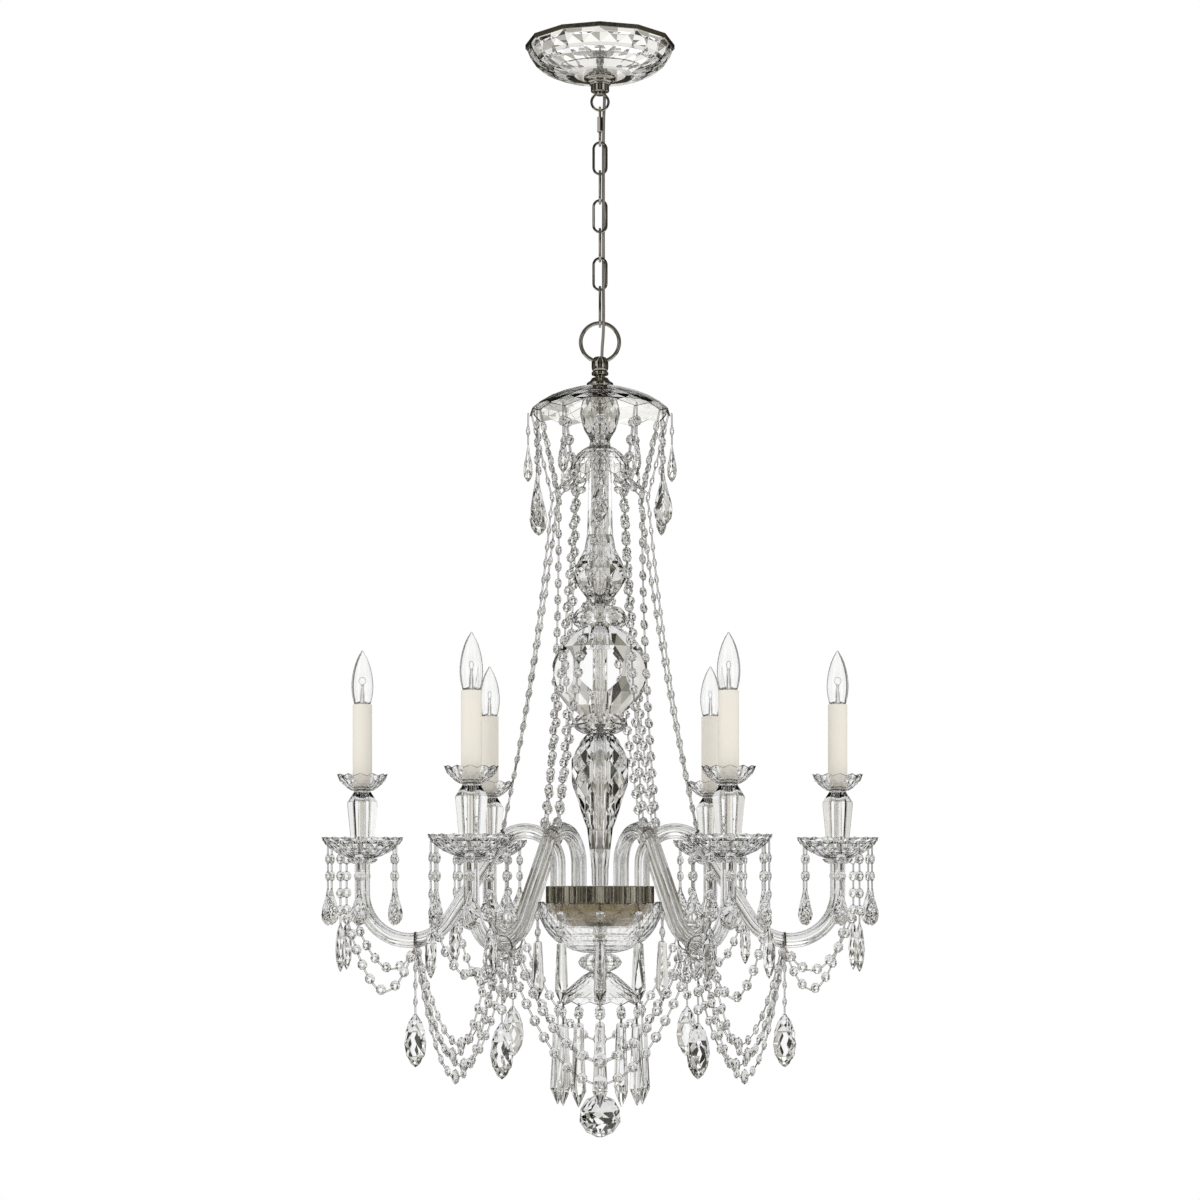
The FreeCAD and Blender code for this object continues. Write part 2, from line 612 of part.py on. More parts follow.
def lower_dish():
    """Small umbrella of cut glass at the foot of the tube, with twelve hanging points."""
    return bell_dish(LOWER_DISH_RADIUS, LOWER_DISH_HEIGHT, LOWER_DISH_TOP, 14.0, (30.0, 14.0, 31.0),
                     hole_for(ROD_RADIUS))


def end_nut():
    """Nickel nut with a hook eye that closes the rod and carries the bottom ball."""
    low, top, r = END_NUT_TOP - END_NUT_HEIGHT, END_NUT_TOP, END_NUT_RADIUS
    nut = turned([(0, low), (r - 3, low), (r, low + 3), (r, top), (0, top)])
    nut = nut.cut(Part.makeCylinder(ROD_RADIUS + SLIP, END_NUT_HEIGHT - 2, V(0, 0, low + 2)))
    eye = round_ring(3.2, 0.9, V(0, 0, low - 2.6), 6)
    return nut.fuse(eye).removeSplitter()


# --- arms and candles -------------------------------------------------------------------------------------
def arm_line():
    """Middle line of the arm along +X, and where its slope touches the two arcs."""
    across = BEND_CENTRE - SHOULDER_CENTRE
    lean = math.atan2(across.z, across.x) + math.acos((SHOULDER_RADIUS + BEND_RADIUS) / across.Length)
    outward = V(math.cos(lean), 0, math.sin(lean))
    leave = SHOULDER_CENTRE + outward * SHOULDER_RADIUS
    meet = BEND_CENTRE - outward * BEND_RADIUS
    foot, spring = V(ARM_ROOT, 0, ARM_FOOT), V(ARM_ROOT, 0, SHOULDER_CENTRE.z)
    crown = SHOULDER_CENTRE + V(0, 0, SHOULDER_RADIUS)
    trough = BEND_CENTRE - V(0, 0, BEND_RADIUS)
    edges = [
        Part.makeLine(foot, spring),
        Part.Arc(spring, crown, leave).toShape(),
        Part.makeLine(leave, meet),
        Part.Arc(meet, trough, V(CANDLE_CIRCLE, 0, BEND_CENTRE.z)).toShape(),
        Part.makeLine(V(CANDLE_CIRCLE, 0, BEND_CENTRE.z), V(CANDLE_CIRCLE, 0, ARM_TOP)),
    ]
    return Part.Wire(edges)


def arm_section(outer, rib):
    """Ribbed tube section: ribs and hollows in turn, or a plain many-sided bore where rib is zero."""
    count = 2 * ARM_RIBS if rib else ARM_RIBS
    corners = []
    for n in range(count):
        radius = outer - rib * (n % 2)
        corners.append(V(ARM_ROOT, 0, ARM_FOOT) + around(radius, 360 / count * n, 0))
    return Part.makePolygon(corners + corners[:1])


def glass_arm():
    """Hollow ribbed glass arm: one section carried along rise, shoulder, slope, U-bend and riser."""
    line = arm_line()
    body = line.makePipeShell([arm_section(ARM_TUBE, ARM_RIB)], True, False)
    bore = line.makePipeShell([arm_section(ARM_BORE, 0)], True, False)
    return body.cut(bore)


def arm_cup():
    """Petal collar cemented on the arm's end, under the bobeche."""
    low, top, r = CUP_TOP - ARM_CUP_HEIGHT, CUP_TOP, ARM_CUP_RADIUS
    seat, hole = hole_for(ARM_TUBE), hole_for(PIPE_RADIUS)
    outline = [(seat, low), (ARM_TUBE + 3, low), (r, top - 3.5), (r, top), (hole, top)]
    outline += [(hole, ARM_TOP), (seat, ARM_TOP)]
    return facetted(outline, hollow=True)


def bobeche():
    """Broad drip pan of cut glass, with crossing facets below and a thin flared rim."""
    low, rim, r, wall = CUP_TOP, BOBECHE_RIM, BOBECHE_RADIUS, BOBECHE_WALL
    hole = hole_for(PIPE_RADIUS)
    outer = [(hole, low, 0.0), (16, low, 0.0), (35, low + 7, 0.5), (47, low + 16, 0.0), (r, rim, 0.5)]
    inner = [(r - 2.5, rim, 0.5), (44, low + 17.5, 0.0), (33, low + 10.5, 0.5), (17, low + wall, 0.0)]
    inner += [(hole, low + wall, 0.0)]
    return facetted(outer + inner, hollow=True)


def candle_vase():
    low, top, r = VASE_BOTTOM, VASE_TOP, CANDLE_VASE_RADIUS
    hole = hole_for(PIPE_RADIUS, 8)
    outline = [(hole, low), (13, low), (14.8, low + 24), (r, top - 14.5), (r - 2, top - 9), (11.7, top)]
    outline.append((hole, top))
    return facetted(outline, sides=8, hollow=True)


def small_bobeche():
    low, rim, r, wall = VASE_TOP, SMALL_RIM, SMALL_BOBECHE_RADIUS, SMALL_BOBECHE_WALL
    hole = hole_for(PIPE_RADIUS)
    outer = [(hole, low, 0.0), (14.5, low, 0.0), (25, low + 8, 0.5), (r, rim, 0.0)]
    inner = [(r - 2.2, rim, 0.0), (22.5, low + 10, 0.5), (14, low + wall, 0.0), (hole, low + wall, 0.0)]
    return facetted(outer + inner, hollow=True)


def lamp_socket():
    """Lamp holder inside the candle sleeve, screwed on the candle pipe."""
    low, top = SOCKET_BOTTOM, SOCKET_TOP
    outline = [(PIPE_RADIUS + SLIP, low), (SOCKET_RADIUS, low), (SOCKET_RADIUS, top), (SOCKET_BORE, top)]
    outline += [(SOCKET_BORE, top - BULB_BASE_HEIGHT - 2), (PIPE_RADIUS + SLIP, top - BULB_BASE_HEIGHT - 2)]
    return turned(outline)


def candle_bulb():
    """Torpedo lamp: glass body with a pointed tip, on its screw base."""
    low, r, top = BULB_BOTTOM, BULB_RADIUS, BULB_BOTTOM + BULB_HEIGHT
    foot = SOCKET_TOP - BULB_BASE_HEIGHT
    neck, widest, tip = V(10.5, 0, low), V(r, 0, low + 23), V(BULB_TIP_RADIUS, 0, top)
    corners = [tip, V(0, 0, top), V(0, 0, foot), V(4, 0, foot), V(BULB_BASE_RADIUS, 0, foot + 4),
               V(BULB_BASE_RADIUS, 0, low), neck]
    edges = [Part.makeLine(a, b) for a, b in zip(corners, corners[1:])]
    edges.append(Part.Arc(neck, V(r - 0.8, 0, low + 11), widest).toShape())
    edges.append(Part.Arc(widest, V(9.8, 0, low + 50), tip).toShape())
    return Part.Face(Part.Wire(edges)).revolve(ORIGIN, UP, 360)


def band_ring(inner, outer, width):
    """Flat band ring about the X axis, standing in the YZ plane."""
    ring = tube(outer, inner, -width / 2, width / 2)
    ring.rotate(ORIGIN, V(0, 1, 0), 90)
    return ring


# --- crystal trim -----------------------------------------------------------------------------------------
def gem(size, rings, sides=8):
    """Hanging crystal facing +X, its top at the origin. A ring is (share of width, share of height)."""
    height, width, thickness = size
    outline = [(width / 2 * share, -height * drop) for share, drop in rings]
    return spun(facetted(outline, sides, aspect=thickness / width), 90)


PEAR_RINGS = [(0.14, 0.0), (1.0, 0.66), (0.66, 0.9), (0.0, 1.0)]
ALMOND_RINGS = [(0.14, 0.0), (0.78, 0.3), (1.0, 0.55), (0.66, 0.86), (0.0, 1.0)]
PRISM_RINGS = [(0.62, 0.0), (1.0, 0.8), (0.0, 1.0)]


def octagon(size=BEAD, thickness=BEAD_THICKNESS):
    """Octagon facing X: eight facets on each side of its girdle, a tip above and a tip below."""
    bead = facetted([(0, thickness / 2), (size / 2, 0), (0, -thickness / 2)], 8)
    bead.rotate(ORIGIN, V(0, 1, 0), 90)
    return bead


OCTAGON = octagon()
BIG_OCTAGON = octagon(1.4 * BEAD, 1.2 * BEAD_THICKNESS)


def placed(shape, centre, down, facing):
    """Copy of a shape modelled facing X with -Z along down."""
    z = V(down).normalize() * -1
    x = (facing - z * facing.dot(z)).normalize()
    y = z.cross(x)
    rows = [(x.x, y.x, z.x, centre.x), (x.y, y.y, z.y, centre.y), (x.z, y.z, z.z, centre.z), (0, 0, 0, 1)]
    frame = FreeCAD.Matrix(*[value for row in rows for value in row])
    return shape.transformed(frame, copy=True)


def pin(start, end):
    """Three-sided wire pin that stops just short of the pieces at its two ends."""
    way = end - start
    trim = V(way).normalize() * PIN_GAP
    section = Part.Face(wire_section(start + trim, PIN, way, 3))
    return section.extrude(way - trim * 2)


class Curve:
    """Hanging line from one point to another: straight, with a sag added along one direction."""

    def __init__(self, start, end, sag=ORIGIN, steps=120):
        self.points = []
        for n in range(steps + 1):
            t = n / steps
            self.points.append(start + (end - start) * t + sag * (4 * t * (1 - t)))
        self.runs = [0.0]
        for a, b in zip(self.points, self.points[1:]):
            self.runs.append(self.runs[-1] + (b - a).Length)
        self.length = self.runs[-1]

    def at(self, run):
        n = 1
        while n < len(self.runs) - 1 and self.runs[n] < run:
            n += 1
        a, b = self.points[n - 1], self.points[n]
        return a + (b - a) * ((run - self.runs[n - 1]) / (self.runs[n] - self.runs[n - 1]))


def beaded(curve, middles, facing, big=None, ends=(True, True)):
    """Octagons at these distances along a curve, joined by pins; ends says which curve ends get a pin."""
    beads, tips = [], []
    for n, middle in enumerate(middles):
        reach = BEAD / 2 * (1.4 if n == big else 1.0)
        way = (curve.at(middle + 1) - curve.at(middle - 1)).normalize()
        centre = curve.at(middle)
        beads.append(placed(BIG_OCTAGON if n == big else OCTAGON, centre, way, facing(centre)))
        tips.append((centre - way * reach, centre + way * reach))
    pins = [pin(a[1], b[0]) for a, b in zip(tips, tips[1:])]
    if ends[0]:
        pins.append(pin(curve.at(0), tips[0][0]))
    if ends[1]:
        pins.append(pin(tips[-1][1], curve.at(curve.length)))
    return beads, pins


def evenly(curve, lead=PITCH / 2, odd=False):
    """Middles about one pitch apart and lead from each end; odd gives the curve a middle octagon."""
    count = round((curve.length - 2 * lead) / PITCH) + 1
    if odd and count % 2 == 0:
        count -= 1
    step = (curve.length - 2 * lead) / (count - 1)
    return [lead + n * step for n in range(count)]


def outward(point):
    return V(point.x, point.y, 0)


def dropped(hook, top, count, crystal, facing, pitch=PITCH, tail=9.0):
    """Upright string: a pin from the hook, count octagons from top down, a last pin and a hanging crystal."""
    beads, pins = [], []
    upper = hook
    for n in range(count):
        middle = top - V(0, 0, BEAD / 2 + pitch * n)
        beads.append(placed(OCTAGON, middle, V(0, 0, -1), facing))
        pins.append(pin(upper, middle + V(0, 0, BEAD / 2)))
        upper = middle - V(0, 0, BEAD / 2)
    seat = upper - V(0, 0, tail)
    pins.append(pin(upper, seat))
    return beads, pins, placed(crystal, seat, V(0, 0, -1), facing)


class Trim:
    """Octagons, pins and drops of one region."""

    def __init__(self):
        self.beads, self.pins, self.drops = [], [], []

    def add(self, beads, pins, drop=None):
        self.beads += beads
        self.pins += pins
        if drop is not None:
            self.drops.append(drop)


TOP_RIM = TOP_DISH_TOP - TOP_DISH_HEIGHT
JUNCTION_RADIUS = 62.4      # where the net meets the long strands
JUNCTION_DROP = 105.0       # below the top dish's rim


def junction(bearing):
    return around(JUNCTION_RADIUS, bearing, TOP_RIM - JUNCTION_DROP)


def top_net():
    """Bead net from the top dish's rim to twelve junctions, and from each of those up to the second dish."""
    net = Trim()
    second_rim = SECOND_DISH_TOP - SECOND_DISH_HEIGHT
    for n in range(FACETS):
        bearing = 360 / FACETS * n
        joint = junction(bearing)
        fall = Curve(around(TOP_DISH_RADIUS - DISH_WALL, bearing, TOP_RIM - 0.2), joint)
        places = [fall.length - PITCH * k for k in range(int(fall.length // PITCH), -1, -1)]
        middles = [place for place in places if place > BEAD / 2 + 1]
        net.add(*beaded(fall, middles, outward, ends=(True, False)))
        start = joint + around(-1.4, bearing, 0) + V(0, 0, BEAD / 2 - 1.2)
        rise = Curve(start, around(SECOND_DISH_RADIUS - DISH_WALL / 2, bearing, second_rim - 0.2))
        net.add(*beaded(rise, [rise.length / 2], outward))
    return net


def rim_pendants():
    """Under the top dish's corners in turn: one octagon and a small drop, three octagons and a large drop."""
    trim = Trim()
    small, large = gem(RIM_DROP_SMALL, PEAR_RINGS), gem(RIM_DROP_LARGE, PEAR_RINGS)
    for n in range(FACETS):
        bearing = 360 / FACETS * n
        hook = around(TOP_DISH_RADIUS + PIN + 0.2, bearing, TOP_RIM + 3)
        top = around(TOP_DISH_RADIUS + PIN + 0.4, bearing, TOP_RIM - 12.0)
        if n % 2 == 0:
            trim.add(*dropped(hook, top, 1, small, outward(hook)))
        else:
            trim.add(*dropped(hook, top, 3, large, outward(hook)))
    return trim


HOOP_PLACE = 54.5           # place of the hoop on the shoulder's arc, degrees above level
HOOP_OUT = V(math.cos(math.radians(HOOP_PLACE)), 0, math.sin(math.radians(HOOP_PLACE)))
HOOP_LEAN = math.radians(50)    # the strands' places on the hoop, away from its highest point


def shoulder_point(bearing, side):
    """Where a long strand is pinned to the hoop on an arm's shoulder; side is -1 or 1 across the arm."""
    over = SHOULDER_BAND[1] + 2 * PIN_GAP
    middle = SHOULDER_CENTRE + HOOP_OUT * SHOULDER_RADIUS
    sideways = V(0, side * over * math.sin(HOOP_LEAN), 0)
    point = middle + HOOP_OUT * (over * math.cos(HOOP_LEAN)) + sideways
    return FreeCAD.Rotation(UP, bearing).multVec(point)


def shoulder_hoops():
    """Nickel hoop round each arm where the long strands end."""
    inner, outer, width = SHOULDER_BAND
    hoop = tube(outer, inner, -width / 2, width / 2)
    hoop.rotate(ORIGIN, V(0, 1, 0), -HOOP_PLACE)
    return each_arm(moved(hoop, SHOULDER_CENTRE + HOOP_OUT * SHOULDER_RADIUS))


def long_strands():
    """Two strands to each arm: one from the junction above it and one from the junction beside it."""
    trim = Trim()
    for n in range(ARMS):
        bearing = 360 / ARMS * n
        for start, side in ((bearing, -1), (bearing + 180 / ARMS, 1)):
            top, foot = junction(start), shoulder_point(bearing, side)
            inward = outward(top + foot).normalize() * -STRAND_SAG
            line = Curve(top, foot, inward)
            count = round(line.length / PITCH - 0.5)
            step = line.length / (count + 0.5)
            beads, pins = beaded(line, [step * (k + 1) for k in range(count)], outward, ends=(False, True))
            first = line.at(step)
            way = (line.at(step + 1) - line.at(step - 1)).normalize()
            pins.append(pin(top - V(0, 0, BEAD / 2), first - way * (BEAD / 2)))
            trim.add(beads, pins)
    return trim


HOOK_DROP = 10.0            # holes of the bobeche below its rim
HOOK_RADIUS = 48.8          # circle of the bobeche's strings, about the candle
STRING_TOP = BOBECHE_RIM - 21.6


def candle_point(angle, z, radius=HOOK_RADIUS):
    return V(CANDLE_CIRCLE, 0, 0) + around(radius, angle, z)


def bobeche_pendants():
    """Six pears round each bobeche and two long drops between them, modelled at the arm along +X."""
    arm = Trim()
    pear, long_drop = gem(PEAR, PEAR_RINGS), gem(LONG_DROP, ALMOND_RINGS)
    for angle in range(30, 360, 60):
        hook, top = candle_point(angle, BOBECHE_RIM - HOOK_DROP), candle_point(angle, STRING_TOP)
        arm.add(*dropped(hook, top, 2, pear, around(1, angle, 0)))
    for angle in (-60, 60):
        hook, top = candle_point(angle, BOBECHE_RIM - HOOK_DROP), candle_point(angle, STRING_TOP)
        arm.add(*dropped(hook, top, 4, long_drop, around(1, angle, 0)))
    return at_every_arm(arm)


def at_every_arm(arm):
    trim = Trim()
    for n in range(ARMS):
        turn = 360 / ARMS * n
        trim.add([spun(b, turn) for b in arm.beads], [spun(p, turn) for p in arm.pins])
        trim.drops += [spun(d, turn) for d in arm.drops]
    return trim


RING_PLACE = 240.0          # distance of each arm ring from the axis
RING_INNER = RING_RADIUS - RING_BAND[0] / 2
RING_OUTER = RING_RADIUS + RING_BAND[0] / 2
ARM_LOW = BEND_CENTRE.z - math.sqrt(BEND_RADIUS ** 2 - (BEND_CENTRE.x - RING_PLACE) ** 2)
RING_CENTRE = V(RING_PLACE, 0, ARM_LOW + ARM_TUBE + LOOSE - RING_INNER)


def ring_point(angle, bearing=0.0, ahead=0.0):
    """Point just outside an arm ring, at an angle from its lowest point; further out at the ring's side."""
    a = math.radians(angle)
    over = RING_OUTER + 0.1 + PIN * math.sin(a) ** 2
    point = RING_CENTRE + V(ahead, over * math.sin(a), -over * math.cos(a))
    return FreeCAD.Rotation(UP, bearing).multVec(point)


def arm_rings():
    """Flat nickel ring that hangs round the lowest point of each arm."""
    return each_arm(moved(band_ring(RING_INNER, RING_OUTER, RING_BAND[1]), RING_CENTRE))


def candle_swags():
    """Two swags at each arm, from the long drops' strings under the bobeche to the arm ring."""
    arm = Trim()
    for side, sag in ((1, 76.0), (-1, 48.0)):
        level = STRING_TOP - BEAD / 2 - PITCH * 3
        inward = V(-math.sin(math.radians(60)), side * math.cos(math.radians(60)), 0)
        start = candle_point(side * 60, level) + inward * (BEAD / 2 + PIN_GAP)
        line = Curve(start, ring_point(side * 62, ahead=RING_BAND[1] / 2), V(0, 0, -sag))
        across = V(start.y - RING_CENTRE.y, RING_CENTRE.x - start.x, 0)
        arm.add(*beaded(line, evenly(line), lambda point, a=across: a))
    return at_every_arm(arm)


UPPER_SWAG = (95.0, 139.0)  # angle on the arm ring, depth
LOWER_SWAG = (30.0, 152.0)
SWAG_LEAD = 13.5            # arm ring to the middle of the first octagon, which clears the ring's side


def arm_swags():
    """Two swags from each arm's ring to the next arm's, each with a broad octagon at its lowest point."""
    trim = Trim()
    step = 360 / ARMS
    for n in range(ARMS):
        for angle, depth in (UPPER_SWAG, LOWER_SWAG):
            start = ring_point(angle, step * n, -RING_BAND[1] / 2)
            end = ring_point(-angle, step * (n + 1), -RING_BAND[1] / 2)
            line = Curve(start, end, V(0, 0, -depth))
            middles = evenly(line, SWAG_LEAD, odd=True)
            trim.add(*beaded(line, middles, outward, big=len(middles) // 2))
    return trim


def arm_pendants():
    """Three octagons and a large almond under each arm ring: one group of loose solids for each arm."""
    almond = gem(ALMOND, ALMOND_RINGS)
    hook = ring_point(0)
    beads, pins, drop = dropped(hook - V(0, 0, 0.1), hook - V(0, 0, 9.5), 3, almond, V(1, 0, 0))
    return [[spun(piece, 360 / ARMS * n) for piece in beads + pins + [drop]] for n in range(ARMS)]


def hub_strings():
    """Two octagons and a prism, ten times round the rim of the hub bowl."""
    trim = Trim()
    prism = gem(PRISM_SHORT, PRISM_RINGS)
    for n in range(HUB_STRINGS):
        bearing = -90 + 360 / HUB_STRINGS * n
        hook = around(HUB_BOWL_RADIUS + PIN + 0.1, bearing, HUB_BOWL_TOP - 1.5)
        top = around(HUB_BOWL_RADIUS + BEAD_THICKNESS / 2 + 0.6, bearing, HUB_BOWL_TOP - 10.5)
        trim.add(*dropped(hook, top, 2, prism, outward(hook), tail=5.0))
    return trim


def lower_strings():
    """One octagon and a long prism, twelve times round the rim of the lower dish."""
    trim = Trim()
    prism = gem(PRISM_LONG, PRISM_RINGS)
    for n in range(FACETS):
        bearing = 360 / FACETS * n
        hook = around(LOWER_DISH_RADIUS + PIN + 0.2, bearing, LOWER_DISH_RIM + 2.5)
        top = around(LOWER_DISH_RADIUS + PIN + 0.3, bearing, LOWER_DISH_RIM - 4.0)
        trim.add(*dropped(hook, top, 1, prism, outward(hook)))
    return trim


def bottom_ball():
    """String of octagons under the end nut's eye, with the large faceted ball."""
    rows = [(0.25, 75.5), (0.64, 50.0), (0.9, 25.0), (1.0, 0.0), (0.9, -25.0), (0.64, -50.0), (0.0, -90.0)]
    outline = []
    for n, (share, row) in enumerate(rows):
        z = END_BALL_RADIUS * (math.sin(math.radians(row)) - 1)
        outline.append((END_BALL_RADIUS * math.cos(math.radians(row)) if share else 0, z, 0.5 * (n % 2)))
    ball = facetted(outline, sides=10)
    eye_foot = V(0, 0, END_NUT_TOP - END_NUT_HEIGHT - 2.6 - 3.2 - 0.9)
    hook, top = eye_foot - V(0, 0, 0.1), eye_foot - V(0, 0, 6)
    beads, pins, drop = dropped(hook, top, END_BALL_BEADS, ball, V(0, -1, 0))
    return beads + pins + [drop]


# --- the sub-parts ----------------------------------------------------------------------------------------
def ceiling_parts():
    band = CANOPY_RADIUS - BAND_WALL
    return {
        "ceiling_crossbar": [ceiling_crossbar()],
        "threaded_nipple": [tube(NIPPLE_RADIUS, NIPPLE_BORE, CAP_BOTTOM + 1, -0.5)],
        "nipple_nuts": nipple_nuts(),
        "canopy_rim_band": [facetted([(CANOPY_RADIUS, 0), (CANOPY_RADIUS, -CANOPY_BAND), (band, -CANOPY_BAND),
                                      (band, 0)], hollow=True)],
        "canopy_dish": [canopy_dish()],
        "canopy_cap": [canopy_cap()],
        "canopy_loop": [canopy_loop()],
        "supply_cord": [supply_cord()],
    }


def chain_parts():
    link, long_link = wire_link(LINK_LENGTH), wire_link(LONG_LENGTH)
    parts = {
        "quick_link": [hung(wire_link(QUICK_LENGTH, QUICK_GAP), HINGES[0], True)],
        "quick_link_nut": [quick_link_nut()],
        "chain_link_6": [hung(long_link, HINGES[6], True)],
    }
    for n in range(1, 6):
        parts[f"chain_link_{n}"] = [hung(link, HINGES[n], n % 2 == 0)]
    return parts


def column_parts():
    discs = [neck_disc(NECK_TOP, NECK_HEIGHT, 28.0, NECK_RADIUS, 30.0),
             neck_disc(LOWER_NECK_TOP, LOWER_NECK_HEIGHT, 29.0, NECK_RADIUS - 1, 22.0)]
    return {
        "hanging_ring": [hanging_ring()],
        "top_finial": [top_finial()],
        "top_dish": [bell_dish(TOP_DISH_RADIUS, TOP_DISH_HEIGHT, TOP_DISH_TOP, 19.0, (60.0, 11.5, 27.0),
                               hole_for(ROD_RADIUS))],
        "top_vase": [top_vase()],
        "top_sleeve": [tube(TUBE_RADIUS, ROD_RADIUS + SLIP, TOP_VASE_TOP - TUBE_START, TOP_VASE_TOP)],
        "second_dish": [bell_dish(SECOND_DISH_RADIUS, SECOND_DISH_HEIGHT, SECOND_DISH_TOP, 14.0,
                                  (29.0, 10.0, 26.0), hole_for(TUBE_RADIUS))],
        "centre_rod": [centre_rod()],
        "centre_glass_tube": [glass_tube()],
        "upper_baluster": [upper_baluster()],
        "neck_discs": discs,
        "crystal_ball": [crystal_ball()],
        "lower_baluster": [lower_baluster()],
        "hub_drum": [hub_drum()],
        "hub_cup": [hub_cup()],
        "hub_bowl": [hub_bowl()],
        "lower_knop": [lower_knop()],
        "lower_dish": [lower_dish()],
        "end_nut": [end_nut()],
    }


def arm_parts():
    sleeve = tube(SLEEVE_RADIUS, SLEEVE_RADIUS - SLEEVE_WALL, SLEEVE_BOTTOM, SLEEVE_TOP)
    pipe = tube(PIPE_RADIUS, PIPE_BORE, ARM_TOP - PIPE_DEPTH, PIPE_TOP)
    parts = {
        "glass_arms": each_arm(glass_arm()),
        "arm_cups": at_candle(arm_cup()),
        "bobeches": at_candle(bobeche()),
        "candle_vases": at_candle(candle_vase()),
        "small_bobeches": at_candle(small_bobeche()),
        "candle_sleeves": at_candle(sleeve),
        "candle_pipes": at_candle(pipe),
        "lamp_sockets": at_candle(lamp_socket()),
        "arm_hoops": arm_rings() + shoulder_hoops(),
    }
    for n, bulb in enumerate(at_candle(candle_bulb()), 1):
        parts[f"candle_bulb_{n}"] = [bulb]
    return parts


def crystal_parts():
    """All octagons, all drops, all prisms and all pins that don't swing, then the seven swinging strings."""
    stringed = [top_net(), rim_pendants(), long_strands(), bobeche_pendants(), candle_swags(), arm_swags()]
    prisms = [hub_strings(), lower_strings()]
    parts = {
        "octagons": [bead for trim in stringed + prisms for bead in trim.beads],
        "crystal_drops": [drop for trim in stringed for drop in trim.drops],
        "prisms": [drop for trim in prisms for drop in trim.drops],
        "string_pins": [wire for trim in stringed + prisms for wire in trim.pins],
        "bottom_ball": bottom_ball(),
    }
    for n, pendant in enumerate(arm_pendants(), 1):
        parts[f"arm_pendant_{n}"] = pendant
    return parts


os.makedirs("parts", exist_ok=True)
for group in (ceiling_parts(), chain_parts(), column_parts(), arm_parts(), crystal_parts()):
    for name, solids in group.items():
        shape = solids[0] if len(solids) == 1 else Part.makeCompound(solids)
        shape.exportStep(f"parts/{name}.step")
        print(f"{name}: {len(solids)} solids, {shape.Volume / 1000:.1f} cm3")
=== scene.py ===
import itertools
import math
import bmesh
import bpy
from mathutils import Matrix, Vector


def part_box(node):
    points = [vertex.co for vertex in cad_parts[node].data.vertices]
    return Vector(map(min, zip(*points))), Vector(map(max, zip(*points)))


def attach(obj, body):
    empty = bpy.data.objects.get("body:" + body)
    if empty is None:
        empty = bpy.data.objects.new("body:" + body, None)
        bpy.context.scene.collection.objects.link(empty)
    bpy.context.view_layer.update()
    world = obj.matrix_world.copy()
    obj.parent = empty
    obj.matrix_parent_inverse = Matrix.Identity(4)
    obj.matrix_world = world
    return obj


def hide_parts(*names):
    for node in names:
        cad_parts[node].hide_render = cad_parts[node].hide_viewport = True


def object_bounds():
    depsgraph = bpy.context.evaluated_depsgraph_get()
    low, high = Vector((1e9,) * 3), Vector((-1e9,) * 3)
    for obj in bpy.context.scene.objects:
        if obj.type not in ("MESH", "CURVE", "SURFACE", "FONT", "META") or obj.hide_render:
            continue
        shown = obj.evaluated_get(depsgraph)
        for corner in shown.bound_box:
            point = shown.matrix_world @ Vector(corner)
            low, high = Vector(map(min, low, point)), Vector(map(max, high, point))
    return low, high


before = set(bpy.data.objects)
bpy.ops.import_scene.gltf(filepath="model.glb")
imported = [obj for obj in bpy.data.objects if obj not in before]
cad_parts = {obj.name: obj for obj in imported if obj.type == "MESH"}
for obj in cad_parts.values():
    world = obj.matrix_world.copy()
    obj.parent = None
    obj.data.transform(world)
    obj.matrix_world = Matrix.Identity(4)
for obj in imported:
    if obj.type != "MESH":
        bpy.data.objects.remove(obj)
cad_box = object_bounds()
bpy.context.scene.view_settings.view_transform = "Standard"

# --- viewpoint ---------------------------------------------------------------------------------------------
# A level camera in front of the hub, 3.51 m from the column, with a long lens. The shift lifts the frame
# from the hub's height to the middle of the whole chandelier.
camera = bpy.data.objects.new("camera", bpy.data.cameras.new("camera"))
camera.data.lens = 81.0
camera.data.sensor_width = 36.0
camera.data.shift_y = 0.2295
camera.data.clip_end = 60.0
camera.location = (0.0, -3.51, -1.080)
camera.rotation_euler = (math.radians(90), 0, 0)
bpy.context.scene.collection.objects.link(camera)
bpy.context.scene.camera = camera

# --- supply cord -------------------------------------------------------------------------------------------
# Flat twin lead in silvery clear plastic over tinned strands. It leaves the canopy's cap, weaves down through
# the links that stand flat to the room and goes into the knob of the hanging ring.
MM = 0.001
CORD_ROUTE = [
    (6.0, 5.8, -58.0),
    (5.8, 5.9, -72.0),
    (4.6, 5.0, -98.0),
    (4.4, 5.2, -131.0),
    (4.4, -5.2, -165.0),
    (4.5, -5.2, -205.5),
    (4.4, 5.2, -240.0),
    (4.5, 5.2, -280.0),
    (4.4, -5.2, -315.5),
    (4.7, -5.3, -346.0),
    (4.6, -6.4, -376.0),
    (2.6, -6.2, -397.0),
    (2.4, -6.0, -411.0),
]
CORD_WIDTH = 4.2 * MM
CORD_THICKNESS = 2.3 * MM


